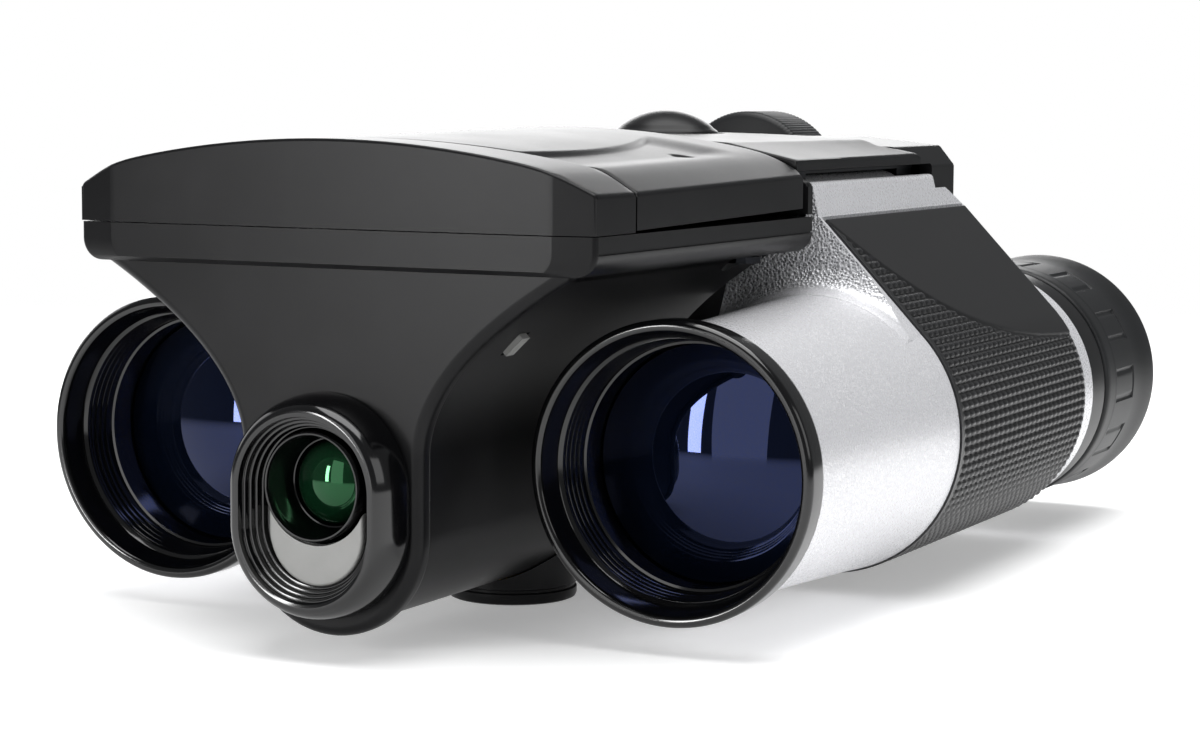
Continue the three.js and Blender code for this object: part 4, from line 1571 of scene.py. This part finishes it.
@dataclass
class Barrel:
    """One barrel with its lenses, rubber grip, rings and eyecup."""

    side: Side
    radius: float = 16.0
    grip_radius: float = 16.28
    seat: float = 15.2
    grip: Pair = (42.2, 89.3)
    end: float = 94.5
    pin: Pair = (23.5, 25.0)
    knuckle: float = 3.6
    flank: float = math.radians(43.58)
    wrap: float = math.radians(149.6)
    straight: float = 17.46
    rows: int = 70
    beads: int = 28
    bead_height: float = 0.4
    samples: int = 6
    wall: float = 41.4
    cove: float = 3.2
    rim: float = 0.9

    def __post_init__(self) -> None:
        """Work out the names and the axis."""
        self.label = self.side.name.lower()
        self.sign = self.side.value
        self.centre = (self.sign * BARREL_X, 0.0)
        self.own = f"{self.label}_barrel"

    def build(self) -> None:
        """Build and dress the barrel's pieces."""
        label = self.label
        cup = f"{label}_cup"
        neck, ocular = ("left_neck_ring", self.own), self.own
        if self.side is Side.RIGHT:
            neck, ocular = ("right_diopter_ring", "right_diopter"), "right_ocular"
        present(self.shell(), Slot.SILVER, self.own, f"{label}_barrel_shell")
        present(self.grip_rubber(), Slot.GRIP, self.own, f"{label}_grip", angle=75)
        present(self.objective_ring(), Slot.GLOSS, self.own, f"{label}_objective_ring")
        present(self.objective_lens(), Slot.OBJECTIVE, self.own, f"{label}_objective_lens")
        present(self.neck_ring(neck[0]), Slot.BODY, neck[1], neck[0])
        present(self.eyecup(), Slot.CUP, cup, f"{label}_eyecup", angle=50)
        present(self.ocular_tube(), Slot.BODY, ocular, f"{label}_ocular_tube")
        present(self.eye_lens(), Slot.CLEAR, ocular, f"{label}_eye_lens")

    def flip(self, form: Form) -> Form:
        """Mirror a form drawn for the left barrel when this is the right one.

        Args:
            form: The form.

        Returns:
            The form.
        """
        if self.side is Side.RIGHT:
            form.points = [(-x, y, z) for x, y, z in form.points]
        return form

    def shoulder(self, grow: float) -> list[Pair]:
        """Section from the tube up to the hinge.

        Args:
            grow: How far the section is moved outwards.

        Returns:
            The outline.
        """
        return [
            (15.9, 7.6),
            (self.pin[0] - self.knuckle, self.pin[1]),
            self.pin,
            (26.9, 28),
            (28.2 + grow, 28),
            (29.1 + grow, 24.15 + grow),
            (41.59 + 0.72 * grow, 11.03 + 0.7 * grow),
            (BARREL_X, 0),
        ]

    def outside(self, tube: float, grow: float, name: str) -> bpy.types.Object:
        """The barrel's outside as a solid.

        Args:
            tube: Radius of the tube beside the rubber.
            grow: How far the shoulder is moved outwards.
            name: The object's name.

        Returns:
            The solid.
        """
        profile: list[Pair] = [(0, 3.9), (14.2, 3.9), (14.3, 6), (14.8, 20), (15.6, 36), (tube, 42)]
        profile += [(tube, 90), (15.6, 90.5), (15.6, self.end - 0.3), (15.3, self.end), (0, self.end)]
        solid = revolve(profile, self.centre).build(name)
        wall, cove = self.wall, self.cove
        view = fillet([(wall, 0), (90, 0), (90, 24), (88.3, 24.8), (82, 27.5), (81, 29), (wall, 29)], 0.5)
        section = self.shoulder(grow)
        outline = fillet(section, 0.7)
        shoulder = self.flip(prism(outline, (35, 90.5))).build("shoulder")
        combine(shoulder, Join.KEEP, [prism(view, (-60, 60), "X")])
        combine(shoulder, Join.CUT, [self.flip(cuboid((5, 28.6), (81.15, 100), (5, 40)))])
        bend = [(tube + cove * (1 - math.cos(a)), wall - cove * (1 - math.sin(a)) + 0.05)
                for a in spread(0, math.pi / 2, 12)]
        start = wall - cove - 1
        foot = revolve([(0, start), (tube - 0.3, start), *bend, (0, wall + 0.05)], self.centre)
        blend = combine(foot.build("cove"), Join.KEEP, [self.flip(prism(outline, (wall - 9, wall + 1)))])
        pin = (self.sign * self.pin[0], self.pin[1])
        return combine(solid, Join.ADD, [shoulder, blend, rod(self.knuckle, (45.9, 74.6), pin, sides=96)])

    def grip_mask(self, ends: Pair) -> Form:
        """The stretch of surface that the rubber covers."""
        outline = [(29.1, 24.1), (60, 24.1), (60, -30), (-22, -30), (BARREL_X, 0), (29.1, 8)]
        return self.flip(prism(outline, ends))

    def shell(self) -> bpy.types.Object:
        """The silver shell, with the seat of the rubber sunk into it and its inside bored out.

        Returns:
            The piece.
        """
        shell = self.outside(self.radius, 0.0, f"{self.label}_barrel_shell")
        sunk = self.outside(20.0, 3.0, "sunk")
        combine(sunk, Join.CUT, [self.outside(self.seat, -0.8, "kept")])
        combine(sunk, Join.KEEP, [self.grip_mask((42.0, 89.5))])
        bore = [(0, 3), (13.55, 3), (13.55, 12.3), (13.45, 12.3), (13.45, 37), (14.4, 38), (14.4, 83),
                (12.95, 86), (12.95, 96), (0, 96)]
        room = self.flip(prism([(18.6, 8), (21.6, 20.4), (27.4, 20.4), (38, 10)], (42.5, 78.5)))
        pin = (self.sign * self.pin[0], self.pin[1])
        cuts = [sunk, revolve(bore, self.centre), room, rod(1.55, (38, 82), pin)]
        cuts += [rod(self.knuckle + 0.5, ends, pin, sides=96) for ends in ((38, 45.9), (74.6, 83))]
        return combine(shell, Join.CUT, cuts)

    def rubber_point(self, along: float, lift: float) -> Pair:
        """A point on the rubber's section, from its distance down the flank and round the tube.

        Args:
            along: Distance down the flank and round the tube.
            lift: Distance above the rubber's outline.

        Returns:
            The point as X and Z.
        """
        normal = Vector((math.cos(self.flank), math.sin(self.flank)))
        down = Vector((normal.y, -normal.x))
        radius = self.grip_radius + lift
        if along < self.straight:
            point = Vector((BARREL_X, 0)) + normal * radius - down * (self.straight - along)
            return (point.x, point.y)
        angle = self.flank - (along - self.straight) / self.grip_radius
        return (BARREL_X + radius * math.cos(angle), radius * math.sin(angle))

    def relief(self, along: float, y: float) -> float:
        """Height of the rubber below its outline: smooth by the shoulder, beaded elsewhere.

        Args:
            along: Distance down the flank and round the tube.
            y: Distance along the barrels.

        Returns:
            The height.
        """
        edge = 22 * (1 - math.exp(-(y - 42) / 13))
        row = abs(math.sin(math.pi * along / self.row_pitch)) ** 0.75
        bead = abs(math.sin(math.pi * (y - self.grip[0]) / self.bead_pitch)) ** 0.7
        beads = -self.bead_height * (1 - row * (0.35 + 0.65 * bead))
        share = smoothstep(edge - 0.1, edge + 0.35, along)
        share *= smoothstep(self.grip[0] + self.rim, self.grip[0] + self.rim + 0.25, y)
        smooth = -0.06 - 0.3 * math.exp(-(((along - edge) / 0.3) ** 2))
        return smooth + (beads - smooth) * share

    def grip_rubber(self) -> bpy.types.Object:
        """The rubber sleeve, a plate between its beaded outside and its seat.

        Returns:
            The piece.
        """
        total = self.straight + (self.flank + self.wrap) * self.grip_radius
        self.row_pitch = total / self.rows
        self.bead_pitch = (self.grip[1] - self.grip[0]) / self.beads
        outer: list[list[Triple]] = []
        inner: list[list[Triple]] = []
        depth = self.seat + 0.25 - self.grip_radius
        for i in range(self.rows * self.samples + 1):
            along = total * i / (self.rows * self.samples)
            column: list[Triple] = []
            for y in spread(self.grip[0], self.grip[1], self.beads * self.samples + 1):
                x, z = self.rubber_point(along, self.relief(along, y))
                column.append((self.sign * x, y, z))
            outer.append(column)
            x, z = self.rubber_point(along, depth)
            inner.append([(self.sign * x, y, z) for y in self.grip])
        return plate_between(outer, inner).build(f"{self.label}_grip")

    def objective_ring(self) -> bpy.types.Object:
        """The glossy ring round the front lens, stepped inside.

        Returns:
            The piece.
        """
        profile = [(14.55, 0.05), (14.95, 0.0), (15.25, 0.12), (15.45, 0.4), (15.5, 0.7), (15.5, 2.9),
                   (15.42, 3.3), (15.1, 3.6), (13.4, 3.6), (13.4, 12),
                   (12.6, 12), (12.6, 7.2), (12.85, 7.1), (12.95, 6.8)]
        for i in range(4):
            y = 6.2 - i * 0.75
            profile += [(12.95 + 0.12 * i, y), (13.05 + 0.12 * i, y - 0.12), (13.07 + 0.12 * i, y - 0.55)]
        profile += [(13.75, 3.15), (13.95, 2.9), (14.2, 1.2), (14.25, 0.6), (14.35, 0.25)]
        return revolve(profile, self.centre, sides=160).build(f"{self.label}_objective_ring")

    def objective_lens(self) -> bpy.types.Object:
        """The domed front lens with a ground edge.

        Returns:
            The piece.
        """
        dome = [(12.4 * t, 8.2 + 2.4 * t * t) for t in spread(0, 1, 20)]
        profile = [*dome, (12.45, 11.0), (12.4, 11.8), (8, 12.6), (4, 12.9), (0, 13)]
        return revolve(profile, self.centre).build(f"{self.label}_objective_lens")

    def neck_ring(self, name: str) -> bpy.types.Object:
        """The ring behind the end band; the diopter ring has fine ribs.

        Args:
            name: Name that is given.

        Returns:
            The piece.
        """
        if self.side is Side.LEFT:
            profile = [(13.05, 94.8), (14.9, 94.8), (15.12, 94.88), (15.2, 95.1), (15.2, 100.7),
                       (15.1, 101.1), (14.85, 101.3), (13.05, 101.3)]
            return revolve(profile, self.centre).build(name)
        sides = 480
        loops: list[list[Triple]] = []
        for radius, y, depth in ((13.05, 94.8, 0), (14.9, 94.8, 0), (15.15, 94.95, 0), (15.2, 95.4, 0),
                                 (15.2, 95.7, 0.22), (15.2, 99.9, 0.22), (15.2, 100.2, 0), (15.15, 101.0, 0),
                                 (14.85, 101.3, 0), (13.05, 101.3, 0)):
            loop: list[Triple] = []
            for j in range(sides):
                rib = 0.5 - 0.5 * math.cos(2 * math.pi * j / 6)
                a = 2 * math.pi * j / sides
                r_here = radius - depth * rib
                loop.append((self.centre[0] + r_here * math.cos(a), y, r_here * math.sin(a)))
            loops.append(loop)
        return Form().loft(loops, ring=True).build(name)

    def bracket(self, angle: float, y: float) -> float:
        """How deep the sunk bracket marks are at a point of the eyecup, from 0 to 1.

        Args:
            angle: Angle round the eyecup's axis.
            y: Distance along the barrels.

        Returns:
            The share of the full depth.
        """
        pitch, stroke, tall = 30.0, 0.26, 15.0
        turn = (math.degrees(angle) + pitch / 2) % pitch - pitch / 2
        around = math.radians(turn) * 15.4
        reach = math.radians(tall / 2) * 15.4
        soft = 0.12
        bar = 1 - smoothstep(stroke, stroke + soft, abs(y - 113.6))
        bar *= 1 - smoothstep(reach, reach + soft, abs(around))
        arm = 1 - smoothstep(stroke, stroke + soft, abs(abs(around) - reach + stroke))
        arm *= smoothstep(106.0, 106.0 + soft, y) * (1 - smoothstep(113.6 + stroke, 113.6 + stroke + soft, y))
        return max(bar, arm)

    def eyecup(self) -> bpy.types.Object:
        """The rubber eyecup with twelve sunk bracket marks and a rolled lip.

        Returns:
            The piece.
        """
        wall = [(15.3, 102.5), (15.35, 103.2)]
        wall += [(15.35 + 0.03 * smoothstep(104, 112, y), y) for y in spread(103.6, 105.6, 5)]
        wall += [(15.38, y) for y in spread(105.8, 114.6, 45)]
        wall += [(15.4, 115.4), (15.46, 116.4), (15.56, 117.4), (15.7, 118.4), (15.84, 119.4), (15.95, 120.4)]
        wall += [(15.99, 121.0), (15.94, 121.5), (15.78, 121.95), (15.5, 122.28), (15.1, 122.46)]
        wall.append((14.7, 122.5))
        inside = [(13.2, 122.5), (12.6, 122.45), (12.15, 122.25), (11.88, 121.95), (11.8, 121.5),
                  (11.8, 120.7), (12.1, 120.0), (13.9, 117.6), (13.9, 102.1), (14.9, 102.1), (15.15, 102.2)]
        sides, depth = 480, 0.24
        loops: list[list[Triple]] = []
        for index, (radius, y) in enumerate([*wall, *inside]):
            loop: list[Triple] = []
            for j in range(sides):
                a = 2 * math.pi * j / sides
                cut = depth * self.bracket(a, y) if index < len(wall) else 0.0
                loop.append((self.centre[0] + (radius - cut) * math.cos(a), y, (radius - cut) * math.sin(a)))
            loops.append(loop)
        return Form().loft(loops, ring=True).build(f"{self.label}_eyecup")

    def ocular_tube(self) -> bpy.types.Object:
        """The tube that carries the eye lens, with a stepped mouth.

        Returns:
            The piece.
        """
        profile = [(12.75, 86.3), (12.75, 115.2), (12.6, 115.7), (12.3, 116), (10.4, 116), (10.25, 115.9),
                   (10.2, 115.1), (10.9, 115.1), (11.3, 114.9), (11.3, 86.3)]
        return revolve(profile, self.centre).build(f"{self.label}_ocular_tube")

    def eye_lens(self) -> bpy.types.Object:
        """The eye lens, domed on both faces.

        Returns:
            The piece.
        """
        front = [(11.1 * t, 107.6 + 1.9 * t * t) for t in spread(0, 1, 14)]
        rear = [(11.1 * t, 114.9 - 2.1 * t * t) for t in spread(1, 0, 14)]
        return revolve([*front, *rear], self.centre).build(f"{self.label}_eye_lens")


# ---------------------------------------------------------------- studio
@dataclass(frozen=True)
class Lamp:
    """One soft rectangular lamp, placed in the drawing frame.

    Attributes:
        name: The lamp's name.
        place: Its middle.
        width: Its width in millimetres.
        height: Its height in millimetres.
        radiance: How bright its face is.
    """

    name: str
    place: Triple
    width: float
    height: float
    radiance: float


LAMPS = (
    Lamp("top", (40, 60, 520), 620, 460, 5.2),
    Lamp("back", (-340, 620, 150), 560, 260, 3.6),
    Lamp("front", (-49, -488, 110), 206, 420, 2.4),
    Lamp("accent", (-180, -396, 70), 46, 190, 32.0),
    Lamp("side", (460, -40, 160), 300, 220, 1.8),
    Lamp("left", (-460, 60, 160), 300, 240, 1.2),
)


@dataclass
class Studio:
    """Camera, floor, world and soft lights."""

    focal: float = 83.47
    eye: Triple = (146.271, -248.644, 37.950)
    view: Triple = (-0.44347624, 0.89067405, -0.10014272)
    across: Triple = (0.894845, 0.44632428, 0.00685975)
    aim: Triple = (0, 45, 5)
    fill: float = 0.22
    glow: float = 0.3
    near: float = 180.0
    far: float = 420.0

    def build(self) -> None:
        """Set up everything around the part."""
        self.camera()
        self.floor()
        self.world()
        for lamp in LAMPS:
            self.hang(lamp)
        bpy.context.scene.view_settings.view_transform = "Standard"

    def camera(self) -> None:
        """Place the camera at the viewing angle."""
        data = bpy.data.cameras.new("camera")
        data.lens = self.focal
        data.clip_start = 0.01
        camera = bpy.data.objects.new("camera", data)
        bpy.context.scene.collection.objects.link(camera)
        back = -Vector(self.view).normalized()
        side = Vector(self.across).normalized()
        up = back.cross(side).normalized()
        turn = Matrix((side, up, back)).transposed().to_4x4()
        camera.matrix_world = Matrix.Translation(DATUM.place(self.eye)) @ turn
        bpy.context.scene.camera = camera

    def floor(self) -> None:
        """A wide plain floor that fades into the white backdrop."""
        half, low = 3000.0, -18.45
        form = Form()
        form.points = [(-half, -half, low), (half, -half, low), (half, half, low), (-half, half, low)]
        form.faces = [(0, 1, 2, 3)]
        floor = form.build("floor")
        tree = Tree("studio_floor")
        cloud = tree.noise(400.0, 2.0)
        tree.set(Base_Color=tree.blend(cloud.above(0.2, 0.8), rgba(0xF4F4F4), rgba(0xFAFAFA)), Roughness=0.75)
        tree.set(Specular_IOR_Level=0.1, Emission_Color=(1, 1, 1, 1), Emission_Strength=self.glow)
        reach = tree.add("ShaderNodeVectorMath", {"operation": "LENGTH"}, {0: tree.place}, output="Value")
        tree.set(Alpha=1 - reach.above(self.near * MM, self.far * MM))
        floor.data.materials.append(tree.material)

    def world(self) -> None:
        """A white backdrop that lights the part only softly."""
        world = bpy.data.worlds.new("studio")
        world.use_nodes = True
        nodes, links = world.node_tree.nodes, world.node_tree.links
        seen = nodes["Background"]
        seen.inputs["Color"].default_value = (1, 1, 1, 1)
        fill = nodes.new("ShaderNodeBackground")
        fill.inputs["Color"].default_value = (0.96, 0.98, 1, 1)
        fill.inputs["Strength"].default_value = self.fill
        path = nodes.new("ShaderNodeLightPath")
        mix = nodes.new("ShaderNodeMixShader")
        links.new(path.outputs["Is Camera Ray"], mix.inputs[0])
        links.new(fill.outputs[0], mix.inputs[1])
        links.new(seen.outputs[0], mix.inputs[2])
        links.new(mix.outputs[0], nodes["World Output"].inputs["Surface"])
        bpy.context.scene.world = world

    def hang(self, lamp: "Lamp") -> None:
        """Hang one lamp, facing the middle of the part.

        Args:
            lamp: The lamp.
        """
        data = bpy.data.lights.new(lamp.name, "AREA")
        data.shape = "RECTANGLE"
        data.size, data.size_y = lamp.width * MM, lamp.height * MM
        data.energy = lamp.radiance * math.pi * data.size * data.size_y
        light = bpy.data.objects.new(lamp.name, data)
        bpy.context.scene.collection.objects.link(light)
        here = Vector(DATUM.place(lamp.place))
        aim = Vector(DATUM.place(self.aim))
        turn = (aim - here).to_track_quat("-Z", "Y").to_matrix().to_4x4()
        light.matrix_world = Matrix.Translation(here) @ turn


def write_sizes() -> None:
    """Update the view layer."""
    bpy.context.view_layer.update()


def main() -> None:
    """Build every sub-assembly in order."""
    logging.basicConfig(level=logging.INFO, format="%(message)s")
    Studio().build()
    PAINT.dress_nodes()
    for assembly in (Housing(), Lid(), Covers(), CameraPod(), Controls(), Underside()):
        assembly.build()
    for side in Side:
        Barrel(side).build()
    write_sizes()


if __name__ == "__main__":
    main()
